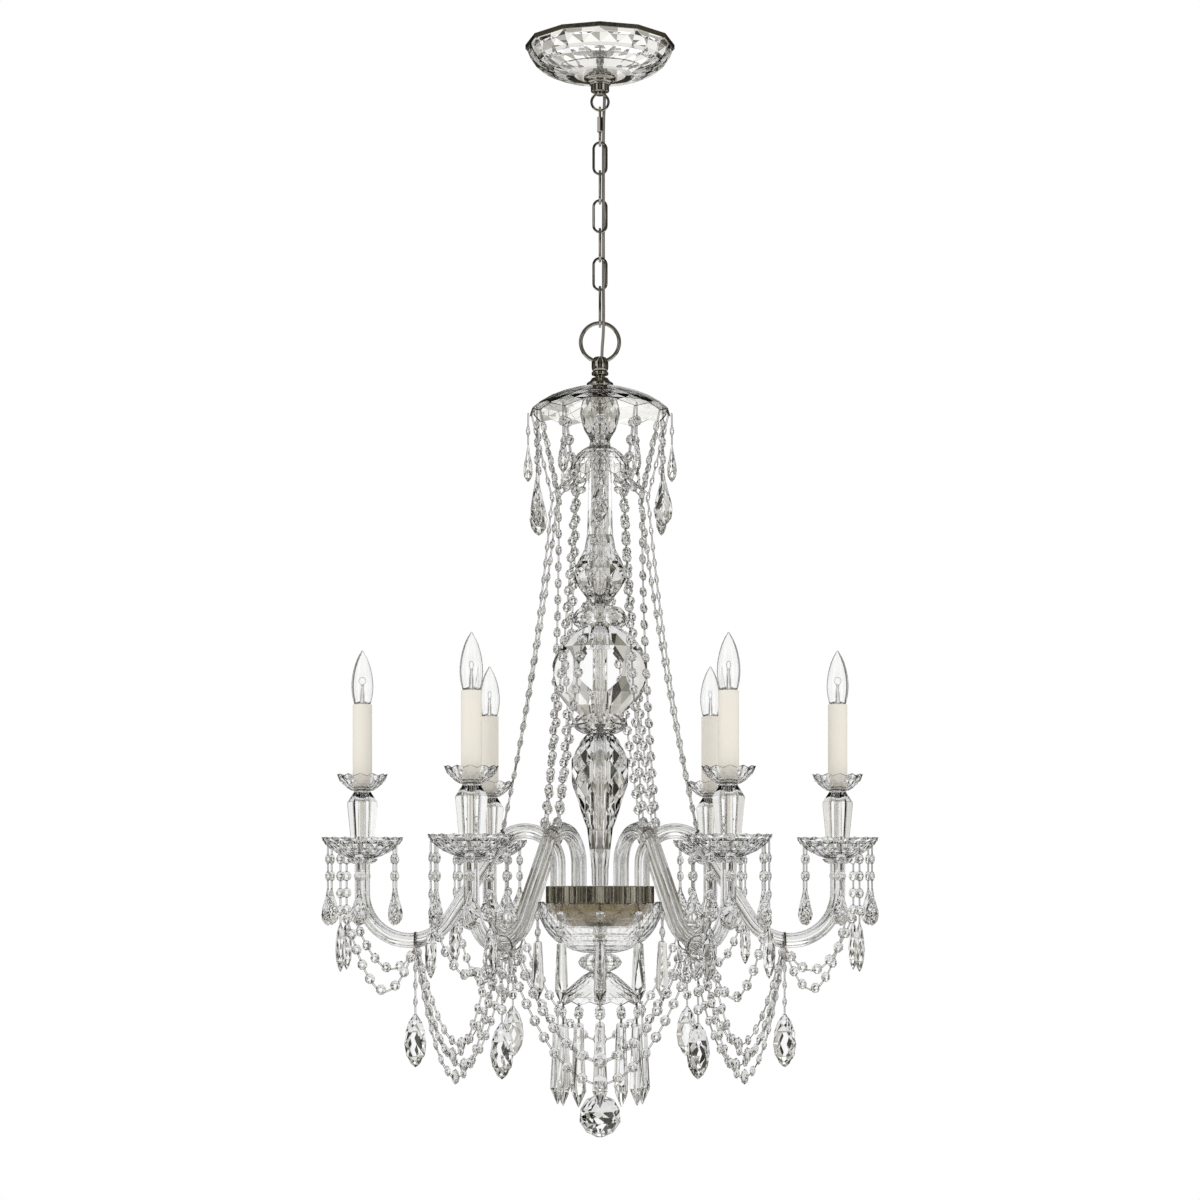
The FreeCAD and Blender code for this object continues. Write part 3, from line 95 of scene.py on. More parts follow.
def hand_polish():
    """Shader group on Object coordinates: a roughness that wanders and a faint waviness of the surface."""
    group = bpy.data.node_groups.new("hand_polish", "ShaderNodeTree")
    for name in ("Scale", "Haze", "Wave"):
        group.interface.new_socket(name, in_out="INPUT", socket_type="NodeSocketFloat")
    group.interface.new_socket("Roughness", in_out="OUTPUT", socket_type="NodeSocketFloat")
    group.interface.new_socket("Normal", in_out="OUTPUT", socket_type="NodeSocketVector")
    given, made = group.nodes.new("NodeGroupInput"), group.nodes.new("NodeGroupOutput")
    place = group.nodes.new("ShaderNodeTexCoord")
    noise = group.nodes.new("ShaderNodeTexNoise")
    noise.inputs["Detail"].default_value = 2.0
    haze = group.nodes.new("ShaderNodeMath")
    haze.operation = "MULTIPLY"
    wave = group.nodes.new("ShaderNodeBump")
    wave.inputs["Distance"].default_value = 0.0002
    for start, end in (
            (place.outputs["Object"], noise.inputs["Vector"]),
            (given.outputs["Scale"], noise.inputs["Scale"]),
            (noise.outputs["Fac"], haze.inputs[0]), (given.outputs["Haze"], haze.inputs[1]),
            (haze.outputs[0], made.inputs["Roughness"]), (noise.outputs["Fac"], wave.inputs["Height"]),
            (given.outputs["Wave"], wave.inputs["Strength"]),
            (wave.outputs["Normal"], made.inputs["Normal"])):
        group.links.new(start, end)
    return group


POLISH = hand_polish()


def finish_of(name, scale, haze, wave, **sockets):
    """Principled material: plain values on its own sockets, roughness and normal from the hand polish."""
    material = bpy.data.materials.new(name)
    material.use_nodes = True
    shader = material.node_tree.nodes["Principled BSDF"]
    for socket, value in sockets.items():
        shader.inputs[socket.replace("_", " ")].default_value = value
    polish = material.node_tree.nodes.new("ShaderNodeGroup")
    polish.node_tree = POLISH
    for socket, value in (("Scale", scale), ("Haze", haze), ("Wave", wave)):
        polish.inputs[socket].default_value = value
    material.node_tree.links.new(polish.outputs["Roughness"], shader.inputs["Roughness"])
    material.node_tree.links.new(polish.outputs["Normal"], shader.inputs["Normal"])
    return material


route = bpy.data.curves.new("supply_cord_twin", "CURVE")
route.dimensions = "3D"
route.resolution_u = 8
line = route.splines.new("NURBS")
line.points.add(len(CORD_ROUTE) - 1)
for point, (x, y, z) in zip(line.points, CORD_ROUTE):
    point.co = (x * MM, y * MM, z * MM, 1)
line.order_u = 3
line.use_endpoint_u = True
route.bevel_depth = CORD_THICKNESS / 2
route.extrude = (CORD_WIDTH - CORD_THICKNESS) / 2
route.use_fill_caps = True
route.materials.append(finish_of("silvery_clear_cord", 900, 0.5, 0.3, Base_Color=(0.24, 0.22, 0.19, 1),
                                 Metallic=0.35, Coat_Weight=0.8))
cord = bpy.data.objects.new("supply_cord_twin", route)
bpy.context.scene.collection.objects.link(cord)
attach(cord, "ceiling_mount")
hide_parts("supply_cord")

# --- canopy ------------------------------------------------------------------------------------------------
# Shallow ceiling dish of lead crystal, cut all over in tiers of crossing facets and polished. A thin band of
# polished nickel runs round its rim, and a stepped nickel cap clamps it to the zinc-plated ceiling fixing.
lead_crystal = finish_of("lead_crystal", 90, 0.008, 0.03, Transmission_Weight=1.0, IOR=1.56,
                         Base_Color=(1, 1, 1, 1))
polished_nickel = finish_of("polished_nickel", 240, 0.2, 0.05, Base_Color=(0.50, 0.47, 0.42, 1), Metallic=1.0)
zinc_steel = finish_of("zinc_plated_steel", 380, 0.7, 0.3, Base_Color=(0.60, 0.60, 0.58, 1), Metallic=1.0)


def crooked(facet):
    """Whether a four-cornered facet isn't flat."""
    a, b, c, d = [corner.co for corner in facet.verts]
    normal = (b - a).cross(c - a)
    return normal.length > 0 and abs(normal.normalized().dot(d - a)) > 1e-6


def piece_of(name, bm, material, slot, body, *nodes, edge=0.0, smooth=None):
    """Finishes a mesh as one piece that rides on its body and stands for CAD nodes. Cut pieces get their
    sharp edges broken by edge millimetres; smooth rounds every edge flatter than that many degrees. The
    mesh is in millimetres meanwhile, because the smallest wires are too small to turn right in metres."""
    bmesh.ops.scale(bm, vec=Vector((1, 1, 1)) / MM, verts=bm.verts)
    if edge:
        twisted = [face for face in bm.faces if len(face.verts) == 4 and crooked(face)]
        bmesh.ops.triangulate(bm, faces=twisted, quad_method="SHORT_EDGE")
        keen = [e for e in bm.edges if e.is_manifold and e.calc_face_angle() > 0.06]
        bmesh.ops.bevel(bm, geom=keen, offset=edge, offset_type="OFFSET", segments=1, profile=0.5,
                        affect="EDGES", clamp_overlap=True, material=-1)
    bmesh.ops.recalc_face_normals(bm, faces=bm.faces)
    bmesh.ops.scale(bm, vec=Vector((MM, MM, MM)), verts=bm.verts)
    mesh = bpy.data.meshes.new(name)
    bm.to_mesh(mesh)
    bm.free()
    if smooth is not None:
        mesh.shade_smooth()
        mesh.set_sharp_from_angle(angle=math.radians(smooth))
    mesh.materials.append(material)
    piece = bpy.data.objects.new(name, mesh)
    bpy.context.scene.collection.objects.link(piece)
    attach(piece, body)
    if nodes:
        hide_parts(*nodes)
    return piece


def crystal(name, bm, body, *nodes, edge=0.25):
    return piece_of(name, bm, lead_crystal, "lead_crystal", body, *nodes, edge=edge)


def nickel(name, bm, body, *nodes, smooth=30):
    return piece_of(name, bm, polished_nickel, "polished_nickel", body, *nodes, smooth=smooth)


def levels(node):
    """Bottom and top of a CAD node, in millimetres."""
    low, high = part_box(node)
    return low.z / MM, high.z / MM


def parts_of(made, kind):
    return [part for part in made if isinstance(part, kind)]


def set_ring(bm, corners, sides, radius, height, turn=0.0, scallop=(0.0, 0.0)):
    """Sets a loop of corners to a ring about the Z axis, turned by a share of a facet. scallop moves every
    second corner outwards and upwards, and a whole turn picks the other ones."""
    step = 2 * math.pi / sides
    pointed = [corner for corner in corners
               if round((math.atan2(corner.co.y, corner.co.x) - math.pi / 2) / step - turn // 1) % 2 == 0]
    bmesh.ops.scale(bm, vec=(radius, radius, 1), verts=corners)
    bmesh.ops.rotate(bm, matrix=Matrix.Rotation(step * (turn % 1), 3, "Z"), verts=corners)
    bmesh.ops.translate(bm, vec=(0, 0, height * MM), verts=corners)
    size = 1 + scallop[0] / radius
    bmesh.ops.scale(bm, vec=(size, size, 1), verts=pointed)
    bmesh.ops.translate(bm, vec=(0, 0, scallop[1] * MM), verts=pointed)


def cut_body(rings, sides, closed=True):
    """Body with facets between rings of corners, in millimetres. A ring is (radius, height), with a turn and
    a scallop where it has them. closed joins the last ring to the first, as round a bore."""
    bm = bmesh.new()
    loops = [bmesh.ops.create_circle(bm, segments=sides, radius=MM)["verts"]]
    edges = bm.edges[:]
    rings = rings + rings[:1] if closed else rings
    for _ in rings[1:]:
        made = bmesh.ops.extrude_edge_only(bm, edges=edges)["geom"]
        loops.append(parts_of(made, bmesh.types.BMVert))
        edges = parts_of(made, bmesh.types.BMEdge)
        edges = [edge for edge in edges if edge.is_boundary]
    for corners, ring in zip(loops, rings):
        set_ring(bm, corners, sides, *ring)
    if closed:
        bmesh.ops.remove_doubles(bm, verts=loops[0] + loops[-1], dist=1e-7)
    else:
        bmesh.ops.holes_fill(bm, edges=[edge for edge in bm.edges if edge.is_boundary], sides=0)
    return bm


def turned(outline, steps=64):
    """Lathe-turned body from a closed outline of (radius, height) corners, in millimetres."""
    bm = bmesh.new()
    corners = [bm.verts.new((radius * MM, 0, height * MM)) for radius, height in outline]
    edges = [bm.edges.new(pair) for pair in zip(corners, corners[1:] + corners[:1])]
    bmesh.ops.spin(bm, geom=corners + edges, cent=(0, 0, 0), axis=(0, 0, 1), angle=2 * math.pi, steps=steps,
                   use_merge=True)
    bmesh.ops.remove_doubles(bm, verts=bm.verts, dist=1e-6)
    bmesh.ops.delete(bm, geom=[edge for edge in bm.edges if not edge.link_faces], context="EDGES")
    return bm


foot, _ = levels("canopy_dish")
outer = [(91.4, -1.0, 0.0, (3.3, 0.0)), (91.6, -7.0, 0.0, (3.3, 0.0)), (91.8, -13.5, 0.5), (86.0, -22.5),
         (76.5, -30.5, 0.5), (62.5, -36.8), (44.0, -40.8, 0.5), (21.0, foot)]
inner = [(6.6, foot), (6.6, foot + 4.0), (33.0, foot + 4.6), (60.0, -31.5), (77.0, -22.5), (85.5, -9.0),
         (86.5, -1.0)]
crystal("canopy_cut_dish", cut_body(outer + inner, 24), "ceiling_mount", "canopy_dish")
band = cut_body([(95.7, 0), (96.8, 0), (97.0, -0.4), (97.0, -5.6), (96.8, -6.0), (95.7, -6.0)], 12)
nickel("canopy_nickel_band", band, "ceiling_mount", "canopy_rim_band", smooth=None)
foot, head = levels("canopy_cap")
outline = [(4.9, foot), (10.6, foot), (11.6, foot + 0.5), (12.0, foot + 1.5), (12.0, foot + 7.5),
           (12.6, foot + 9.0), (13.6, foot + 9.6), (13.6, foot + 11.0), (15.0, foot + 11.6),
           (16.6, foot + 12.4), (17.0, foot + 13.4), (17.0, head - 5.4), (17.6, head - 4.6),
           (20.2, head - 3.9), (21.0, head - 3.0), (21.0, head - 0.8), (20.4, head), (4.9, head)]
nickel("canopy_turned_cap", turned(outline), "ceiling_mount", "canopy_cap")
for node in ("ceiling_crossbar", "threaded_nipple", "nipple_nuts"):
    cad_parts[node].data.materials.clear()
    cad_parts[node].data.materials.append(zinc_steel)

# --- loop, quick link and chain ----------------------------------------------------------------------------
# Nickel-plated steel wire: a welded loop on a collar under the canopy, a quick link closed by a six-sided
# sleeve nut, five oval links and one long link. Each hangs in the one above it.
WIRE = 1.7
LINK_HALF = 8.3         # half a link's width, to the middle of its wire
LINK_LENGTH, LAST_LINK_LENGTH = 44.7, 54.5
QUICK_LENGTH, QUICK_GAP = 52.2, 10.0


def join(bm, other):
    """Adds another mesh to this one and empties it."""
    held = bpy.data.meshes.new("held")
    other.to_mesh(held)
    other.free()
    bm.from_mesh(held)
    bpy.data.meshes.remove(held)
    return bm


def wire_ring(radius, wire, height, sides=12, steps=48):
    """Welded ring of round wire that stands facing the room."""
    bm = bmesh.new()
    section = bmesh.ops.create_circle(bm, segments=sides, radius=wire * MM)["verts"]
    bmesh.ops.translate(bm, vec=(radius * MM, 0, 0), verts=section)
    bmesh.ops.spin(bm, geom=bm.verts[:] + bm.edges[:], cent=(0, 0, 0), axis=(0, 1, 0), angle=2 * math.pi,
                   steps=steps, use_merge=True)
    bmesh.ops.translate(bm, vec=(0, 0, height * MM), verts=bm.verts)
    return bm


def run_on(bm, edges, way):
    """Draws a wire or tube section straight on, by a vector in millimetres."""
    made = bmesh.ops.extrude_edge_only(bm, edges=edges)["geom"]
    bmesh.ops.translate(bm, vec=Vector(way) * MM, verts=parts_of(made, bmesh.types.BMVert))
    return parts_of(made, bmesh.types.BMEdge)


def bend_on(bm, edges, centre, degrees, steps=14):
    """Bends a section on about a point in the XZ plane; positive goes up and over towards +X."""
    corners = list({corner for edge in edges for corner in edge.verts})
    made = bmesh.ops.spin(bm, geom=corners + edges, cent=Vector(centre) * MM, axis=(0, 1, 0),
                          angle=math.radians(degrees), steps=steps)["geom_last"]
    return parts_of(made, bmesh.types.BMEdge)


def wire_link(length, top, across, gap=0.0):
    """Bent wire link, its top wire's middle at this height. across stands it edge-on to the room, and gap
    leaves it open on the side that then faces the room."""
    bm = bmesh.new()
    low = -(length - 2 * WIRE - LINK_HALF)
    middle = (low - LINK_HALF) / 2
    bmesh.ops.create_circle(bm, segments=12, radius=WIRE * MM)
    bmesh.ops.translate(bm, vec=Vector((LINK_HALF, 0, middle + gap / 2)) * MM, verts=bm.verts)
    edges = run_on(bm, bm.edges[:], (0, 0, -LINK_HALF - middle - gap / 2))
    edges = bend_on(bm, edges, (0, 0, -LINK_HALF), -180)
    edges = run_on(bm, edges, (0, 0, low + LINK_HALF))
    edges = bend_on(bm, edges, (0, 0, low), -180)
    run_on(bm, edges, (0, 0, middle - gap / 2 - low))
    if gap:
        bmesh.ops.holes_fill(bm, edges=[edge for edge in bm.edges if edge.is_boundary], sides=0)
    bmesh.ops.remove_doubles(bm, verts=bm.verts, dist=1e-6)
    if across:
        bmesh.ops.rotate(bm, matrix=Matrix.Rotation(-math.pi / 2, 3, "Z"), verts=bm.verts)
    bmesh.ops.translate(bm, vec=(0, 0, top * MM), verts=bm.verts)
    return bm


foot, head = levels("canopy_loop")
loop = wire_ring(11.0, WIRE, foot + 11.0 + WIRE)
collar = levels("canopy_cap")[0]
join(loop, turned([(0, collar - 4), (5.2, collar - 4), (6.0, collar - 3.2), (6.0, collar - 0.2),
                   (0, collar - 0.2)], 32))
nickel("canopy_wire_loop", loop, "ceiling_mount", "canopy_loop")
top = levels("quick_link")[1] - WIRE
nickel("quick_link_wire", wire_link(QUICK_LENGTH, top, True, QUICK_GAP), "quick_link", "quick_link")
foot, head = levels("quick_link_nut")
nut = cut_body([(1.8, foot), (3.5, foot), (4.33, foot + 0.8), (4.33, head - 0.8), (3.5, head),
                (1.8, head)], 6)
bmesh.ops.translate(nut, vec=(0, -LINK_HALF * MM, 0), verts=nut.verts)
nickel("quick_link_sleeve_nut", nut, "quick_link", "quick_link_nut", smooth=None)
for n in range(1, 7):
    top = levels(f"chain_link_{n}")[1] - WIRE
    link = wire_link(LAST_LINK_LENGTH if n == 6 else LINK_LENGTH, top, n % 2 == 0)
    nickel(f"chain_wire_{n}", link, f"chain_link_{n}", f"chain_link_{n}")

# --- hanging ring and finial -------------------------------------------------------------------------------
# Heavy nickel ring whose foot passes through a turned knob, on a waisted finial with a rolled foot. Both are
# turned brass, plated and polished, and screw on the centre rod.
HANGER_RADIUS, HANGER_WIRE = 25.0, 2.5
foot, head = levels("hanging_ring")
hanger = wire_ring(HANGER_RADIUS, HANGER_WIRE, head - HANGER_RADIUS - HANGER_WIRE, 16, 72)
join(hanger, turned([(0, foot), (7.6, foot), (9.4, foot + 1.2), (10.6, foot + 3.4), (11.0, foot + 6.0),
                     (11.0, foot + 12.0), (10.5, foot + 14.6), (9.4, foot + 16.8), (8.0, foot + 18.6),
                     (6.0, foot + 19.5), (0, foot + 19.5)]))
nickel("hanging_ring_and_knob", hanger, "chandelier", "hanging_ring")
foot, head = levels("top_finial")
outline = [(3.2, foot), (16.4, foot), (17.3, foot + 1.0), (17.5, foot + 2.4), (17.2, foot + 3.8),
           (16.0, foot + 4.8), (14.2, foot + 5.4), (13.6, foot + 6.6), (12.4, foot + 7.4), (11.5, foot + 9.0),
           (10.6, foot + 10.4), (8.0, foot + 11.4), (6.0, foot + 12.2), (6.2, foot + 13.2),
           (8.6, foot + 13.8), (10.6, foot + 14.6), (11.0, foot + 15.6), (11.0, head - 0.8), (10.2, head),
           (3.2, head)]
nickel("finial_turned", turned(outline), "chandelier", "top_finial")

# --- top dish, vase and second dish ------------------------------------------------------------------------
# Bell-shaped crystal dish, cut in tiers and scalloped to twelve points that carry the upper strings. A cut
# vase stands between it and a smaller dish of the same cut. A nickel sleeve hides the rod in the vase.
foot, head = levels("top_dish")
outer = [(3.3, head), (19.0, head), (36.0, head - 4.0, 0.5), (52.0, head - 8.8), (67.0, head - 15.0, 0.5),
         (79.0, head - 22.0), (87.5, head - 28.5, 0.5), (91.0, foot + 6.5, 0.0, (0.8, -6.5))]
inner = [(88.9, foot + 6.8, 0.0, (0.8, -6.5)), (85.4, head - 29.2, 0.5), (77.2, head - 23.8),
         (65.4, head - 17.4, 0.5), (50.8, head - 11.6), (35.4, head - 7.0, 0.5), (18.4, head - 3.2),
         (3.3, head - 3.2)]
crystal("top_dish_cut", cut_body(outer + inner, 24), "chandelier", "top_dish")
foot, head = levels("top_vase")
rings = [(9.6, head), (13.0, head), (17.0, head - 4.0, 0.5), (22.0, head - 12.0), (25.2, head - 22.0, 0.5),
         (26.0, head - 31.0), (24.6, head - 42.0, 0.5), (20.5, head - 53.0), (15.0, head - 62.0, 0.5),
         (12.6, foot + 6.0), (14.0, foot + 2.0, 0.5), (13.0, foot), (9.6, foot)]
crystal("top_vase_cut", cut_body(rings, 12), "chandelier", "top_vase")
foot, head = levels("second_dish")
outer = [(9.6, head), (14.0, head), (21.5, head - 4.2, 0.5), (29.0, head - 10.0), (35.0, head - 18.0, 0.5),
         (38.4, head - 27.0), (38.2, foot + 5.0, 0.0, (0.8, -5.0))]
inner = [(35.4, foot + 5.2, 0.0, (0.8, -5.0)), (34.6, head - 28.0), (31.5, head - 20.0, 0.5),
         (26.4, head - 13.4), (20.0, head - 8.0, 0.5), (13.0, head - 4.2), (9.6, head - 4.2)]
crystal("second_dish_cut", cut_body(outer + inner, 24), "chandelier", "second_dish", edge=0.18)
# Lighter copy of the same plated nickel for the centre rod and the candle pipes. Its base colour is painted
# light: it stands in for the light that these parts lose inside the glass.
painted_light_nickel = finish_of("painted_light_nickel", 240, 0.1, 0.05, Base_Color=(0.90, 0.88, 0.84, 1), Metallic=1.0)
for node, material in (("top_sleeve", polished_nickel), ("centre_rod", painted_light_nickel)):
    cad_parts[node].data.materials.clear()
    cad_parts[node].data.materials.append(material)

# --- column ------------------------------------------------------------------------------------------------
# Long and short balusters, two neck discs and a large ball, all of lead crystal, bored for the glass tube
# that runs down inside them. The ball is cut with six eight-sided windows, the balusters with leaf facets.
BORE = 9.6
foot, head = levels("centre_glass_tube")
outline = [(7.0, foot), (8.7, foot), (9.0, foot + 0.3), (9.0, head - 0.3), (8.7, head), (7.0, head)]
piece_of("centre_tube_glass", turned(outline, 40), lead_crystal, "lead_crystal", "chandelier",
         "centre_glass_tube", smooth=30)
foot, head = levels("upper_baluster")
rings = [(BORE, head), (12.5, head), (14.4, head - 14.0, 0.5), (15.8, head - 39.0), (16.4, head - 78.0),
         (17.0, head - 112.0, 0.5), (21.0, head - 130.0), (29.0, head - 147.0, 0.5), (34.6, head - 160.0),
         (34.0, head - 170.0, 0.5), (27.0, head - 182.0), (18.0, head - 193.0, 0.5), (13.2, foot + 4.0),
         (12.5, foot), (BORE, foot)]
crystal("upper_baluster_cut", cut_body(rings, 10), "chandelier", "upper_baluster")
foot, head = levels("neck_discs")
discs = cut_body([(BORE, head), (27.0, head), (33.0, head - 6.5, 0.5), (37.4, head - 15.0),
                  (35.0, head - 21.5, 0.5), (29.5, head - 26.0), (BORE, head - 26.0)], 12)
join(discs, cut_body([(BORE, foot + 25.0), (28.5, foot + 25.0), (34.0, foot + 18.5, 0.5), (36.4, foot + 11.0),
                      (31.0, foot + 4.5, 0.5), (22.0, foot), (BORE, foot)], 12))
crystal("neck_discs_cut", discs, "chandelier", "neck_discs")
foot, head = levels("crystal_ball")
middle = (foot + head) / 2
BALL_RADIUS, WINDOW_DEPTH = 62.4, 54.3
BALL_TIERS = (64.9, 47.0, 28.0, 9.5, -9.5, -28.0, -47.0, -64.9)
rings = [(BORE, head)]
rings += [(BALL_RADIUS * math.cos(math.radians(tier)), middle + BALL_RADIUS * math.sin(math.radians(tier)),
           0.5 * (n % 2)) for n, tier in enumerate(BALL_TIERS)]
ball = cut_body(rings + [(BORE, foot)], 18)
bmesh.ops.triangulate(ball, faces=ball.faces[:], quad_method="SHORT_EDGE")
for n in range(6):
    facing = Matrix.Rotation(math.radians(60 * n + 30), 3, "Z") @ Vector((1, 0, 0))
    bmesh.ops.bisect_plane(ball, geom=ball.verts[:] + ball.edges[:] + ball.faces[:], plane_no=facing,
                           plane_co=facing * WINDOW_DEPTH * MM, clear_outer=True)
    bmesh.ops.holes_fill(ball, edges=[edge for edge in ball.edges if edge.is_boundary], sides=0)
crystal("crystal_ball_cut", ball, "chandelier", "crystal_ball", edge=0.35)
foot, head = levels("lower_baluster")
rings = [(BORE, head), (17.0, head), (24.0, head - 8.0, 0.5), (31.5, head - 20.0), (37.0, head - 34.0, 0.5),
         (38.6, head - 49.0), (36.4, head - 66.0, 0.5), (31.0, head - 84.0), (24.0, head - 103.0, 0.5),
         (17.5, head - 124.0), (13.6, head - 150.0, 0.5), (11.6, head - 176.0), (11.0, foot + 1.0),
         (BORE, foot + 1.0)]
crystal("lower_baluster_cut", cut_body(rings, 10), "chandelier", "lower_baluster")

# --- hub ---------------------------------------------------------------------------------------------------
# Fluted nickel drum that takes the arms, over a spun pan, both inside a deep cut bowl. Under the bowl a lobed
# collar and a small dish close the tube, and a nickel nut with a hook eye ends the rod.
DRUM_FLUTES, FLUTE_DEPTH = 36, 2.2
KNOP_LOBES, LOBE_DEPTH = 8, 4.5
HUB_STRINGS = 10


def press_flutes(bm, count, depth, low, high):
    """Presses round upright flutes into the outside of a body between two heights, in millimetres."""
    for corner in bm.verts:
        radius = corner.co.xy.length / MM
        if low < corner.co.z / MM < high and radius > 4 * depth:
            bearing = math.atan2(corner.co.y, corner.co.x)
            pressed = 1 - depth / radius * (0.5 - 0.5 * math.cos(count * bearing))
            corner.co.x *= pressed
            corner.co.y *= pressed
    return bm


foot, head = levels("hub_drum")
rings = [(15.0, foot), (67.0, foot), (70.5, foot + 0.6), (70.5, head - 0.6), (69.8, head), (66.6, head),
         (66.0, head - 1.2), (15.0, head - 1.2)]
drum = press_flutes(cut_body(rings, 6 * DRUM_FLUTES), DRUM_FLUTES, FLUTE_DEPTH, foot + 0.3, head - 0.3)
piece_of("hub_fluted_drum", drum,
         finish_of("satin_nickel", 160, 0.4, 0.05, Base_Color=(0.50, 0.46, 0.38, 1), Metallic=1.0),
         "polished_nickel", "chandelier", "hub_drum", smooth=30)
foot, head = levels("hub_cup")
outline = [(9.2, foot), (22.0, foot), (30.0, foot + 1.0), (40.0, foot + 4.6), (50.0, foot + 10.0),
           (58.0, foot + 15.4), (64.0, foot + 21.4), (68.0, foot + 28.0), (70.4, head - 0.4), (68.5, head),
           (66.0, foot + 28.5), (62.0, foot + 22.5), (56.0, foot + 16.8), (48.0, foot + 11.4),
           (38.0, foot + 6.2), (28.0, foot + 3.0), (9.2, foot + 2.0)]
piece_of("hub_spun_pan", turned(outline),
         finish_of("aged_nickel", 160, 0.4, 0.05, Base_Color=(0.27, 0.22, 0.13, 1), Metallic=1.0),
         "polished_nickel", "chandelier", "hub_cup", smooth=30)
foot, head = levels("hub_bowl")
outer = [(BORE, foot), (22.0, foot), (36.0, foot + 3.4, 0.5), (48.0, foot + 9.0), (58.0, foot + 15.6, 0.5),
         (66.5, foot + 24.0), (73.0, foot + 33.0, 0.5), (78.0, foot + 44.0), (80.5, foot + 55.0, 0.5),
         (80.2, head - 3.0, 0.0, (0.8, 3.0))]
inner = [(76.6, head - 3.0, 0.0, (0.8, 3.0)), (76.4, foot + 55.0, 0.5), (74.0, foot + 46.0),
         (69.0, foot + 36.0, 0.5), (62.0, foot + 27.5), (54.0, foot + 20.0, 0.5), (44.5, foot + 13.5),
         (33.0, foot + 8.2, 0.5), (21.0, foot + 5.0), (BORE, foot + 5.0)]
crystal("hub_bowl_cut", cut_body(outer + inner, 4 * HUB_STRINGS), "chandelier", "hub_bowl")
foot, head = levels("lower_knop")
rings = [(BORE, head), (14.0, head), (21.0, head - 2.6), (26.0, head - 6.4), (28.4, head - 11.0),
         (27.0, head - 15.4), (22.0, foot + 4.4), (15.0, foot + 1.2), (13.0, foot), (BORE, foot)]
knop = press_flutes(cut_body(rings, 8 * KNOP_LOBES), KNOP_LOBES, LOBE_DEPTH, foot + 1.0, head - 1.0)
crystal("lower_knop_lobed", knop, "chandelier", "lower_knop", edge=0)
foot, head = levels("lower_dish")
outer = [(3.3, head), (14.0, head), (22.0, head - 4.6, 0.5), (30.0, head - 11.6), (38.0, head - 18.6, 0.5),
         (46.0, head - 25.0), (51.8, head - 31.0, 0.5), (53.2, foot + 5.0, 0.0, (0.8, -5.0))]
inner = [(50.4, foot + 5.2, 0.0, (0.8, -5.0)), (48.4, head - 32.0, 0.5), (42.6, head - 27.4),
         (35.0, head - 21.6, 0.5), (27.5, head - 15.0), (20.0, head - 8.4, 0.5), (13.0, head - 4.2),
         (3.3, head - 4.2)]
crystal("lower_dish_cut", cut_body(outer + inner, 24), "chandelier", "lower_dish")
foot, head = levels("end_nut")
eye = wire_ring(3.2, 0.9, foot + 4.1, 8, 24)
join(eye, turned([(0, head - 9.0), (6.0, head - 9.0), (7.6, head - 8.2), (9.0, head - 6.2), (9.0, head - 0.6),
                  (8.6, head), (0, head)], 36))
nickel("end_nut_and_eye", eye, "chandelier", "end_nut")

# --- arms --------------------------------------------------------------------------------------------------
# Six hollow glass arms, drawn with ten rounded ribs. Each rises from the drum, arches over, slopes out and
# down, and turns up through a U-bend to its candle.
ARM_ROOT = 54.6
ARM_FOOT, ARM_TOP = -1114.35, -1060.75
ARM_TUBE, ARM_BORE = 9.9, 4.6
ARM_RIBS = 10
RIB_DEPTH = 1.1
SHOULDER, SHOULDER_RADIUS = Vector((97.5, 0, -1064.95)), 42.9
BEND, BEND_RADIUS = Vector((247.0, 0, -1102.75)), 61.9


def six_times(bm):
    """Repeats a body for the six arms."""
    bmesh.ops.spin(bm, geom=bm.verts[:] + bm.edges[:] + bm.faces[:], cent=(0, 0, 0), axis=(0, 0, 1),
                   angle=2 * math.pi * 5 / 6, steps=5, use_duplicate=True)
    return bm


span = BEND - SHOULDER
lean = math.atan2(span.z, span.x) + math.acos((SHOULDER_RADIUS + BEND_RADIUS) / span.length)
outward = Vector((math.cos(lean), 0, math.sin(lean)))
slope = span - outward * (BEND_RADIUS + SHOULDER_RADIUS)
arm = bmesh.new()
section = bmesh.ops.create_circle(arm, segments=6 * ARM_RIBS, radius=ARM_TUBE * MM)["verts"]
for corner in section:
    hollow = 1 - abs(math.cos(ARM_RIBS / 2 * math.atan2(corner.co.y, corner.co.x)))
    corner.co *= 1 - RIB_DEPTH / ARM_TUBE * hollow
bmesh.ops.create_circle(arm, segments=3 * ARM_RIBS, radius=ARM_BORE * MM)
bmesh.ops.translate(arm, vec=Vector((ARM_ROOT, 0, ARM_FOOT)) * MM, verts=arm.verts)
start = arm.edges[:]
edges = run_on(arm, start, (0, 0, SHOULDER.z - ARM_FOOT))
edges = bend_on(arm, edges, SHOULDER, 180 - math.degrees(lean), 26)
edges = run_on(arm, edges, slope)
edges = bend_on(arm, edges, BEND, math.degrees(lean) - 180, 32)
edges = run_on(arm, edges, (0, 0, ARM_TOP - BEND.z))
for end in (start, edges):
    bmesh.ops.bridge_loops(arm, edges=end)
piece_of("glass_arms_ribbed", six_times(arm), lead_crystal, "lead_crystal", "chandelier", "glass_arms",
         smooth=50)

# --- candles -----------------------------------------------------------------------------------------------
# On each arm's end a petal cup, a broad cut drip pan, a vase cut in flat panels and a small cut pan, all of
# lead crystal, are stacked on a nickel pipe. A smooth cream sleeve in the small pan hides the lamp holder.
CANDLE_CIRCLE = 308.9
VASE_PANELS = 6


def at_candles(bm):
    bmesh.ops.translate(bm, vec=(CANDLE_CIRCLE * MM, 0, 0), verts=bm.verts)
    return six_times(bm)


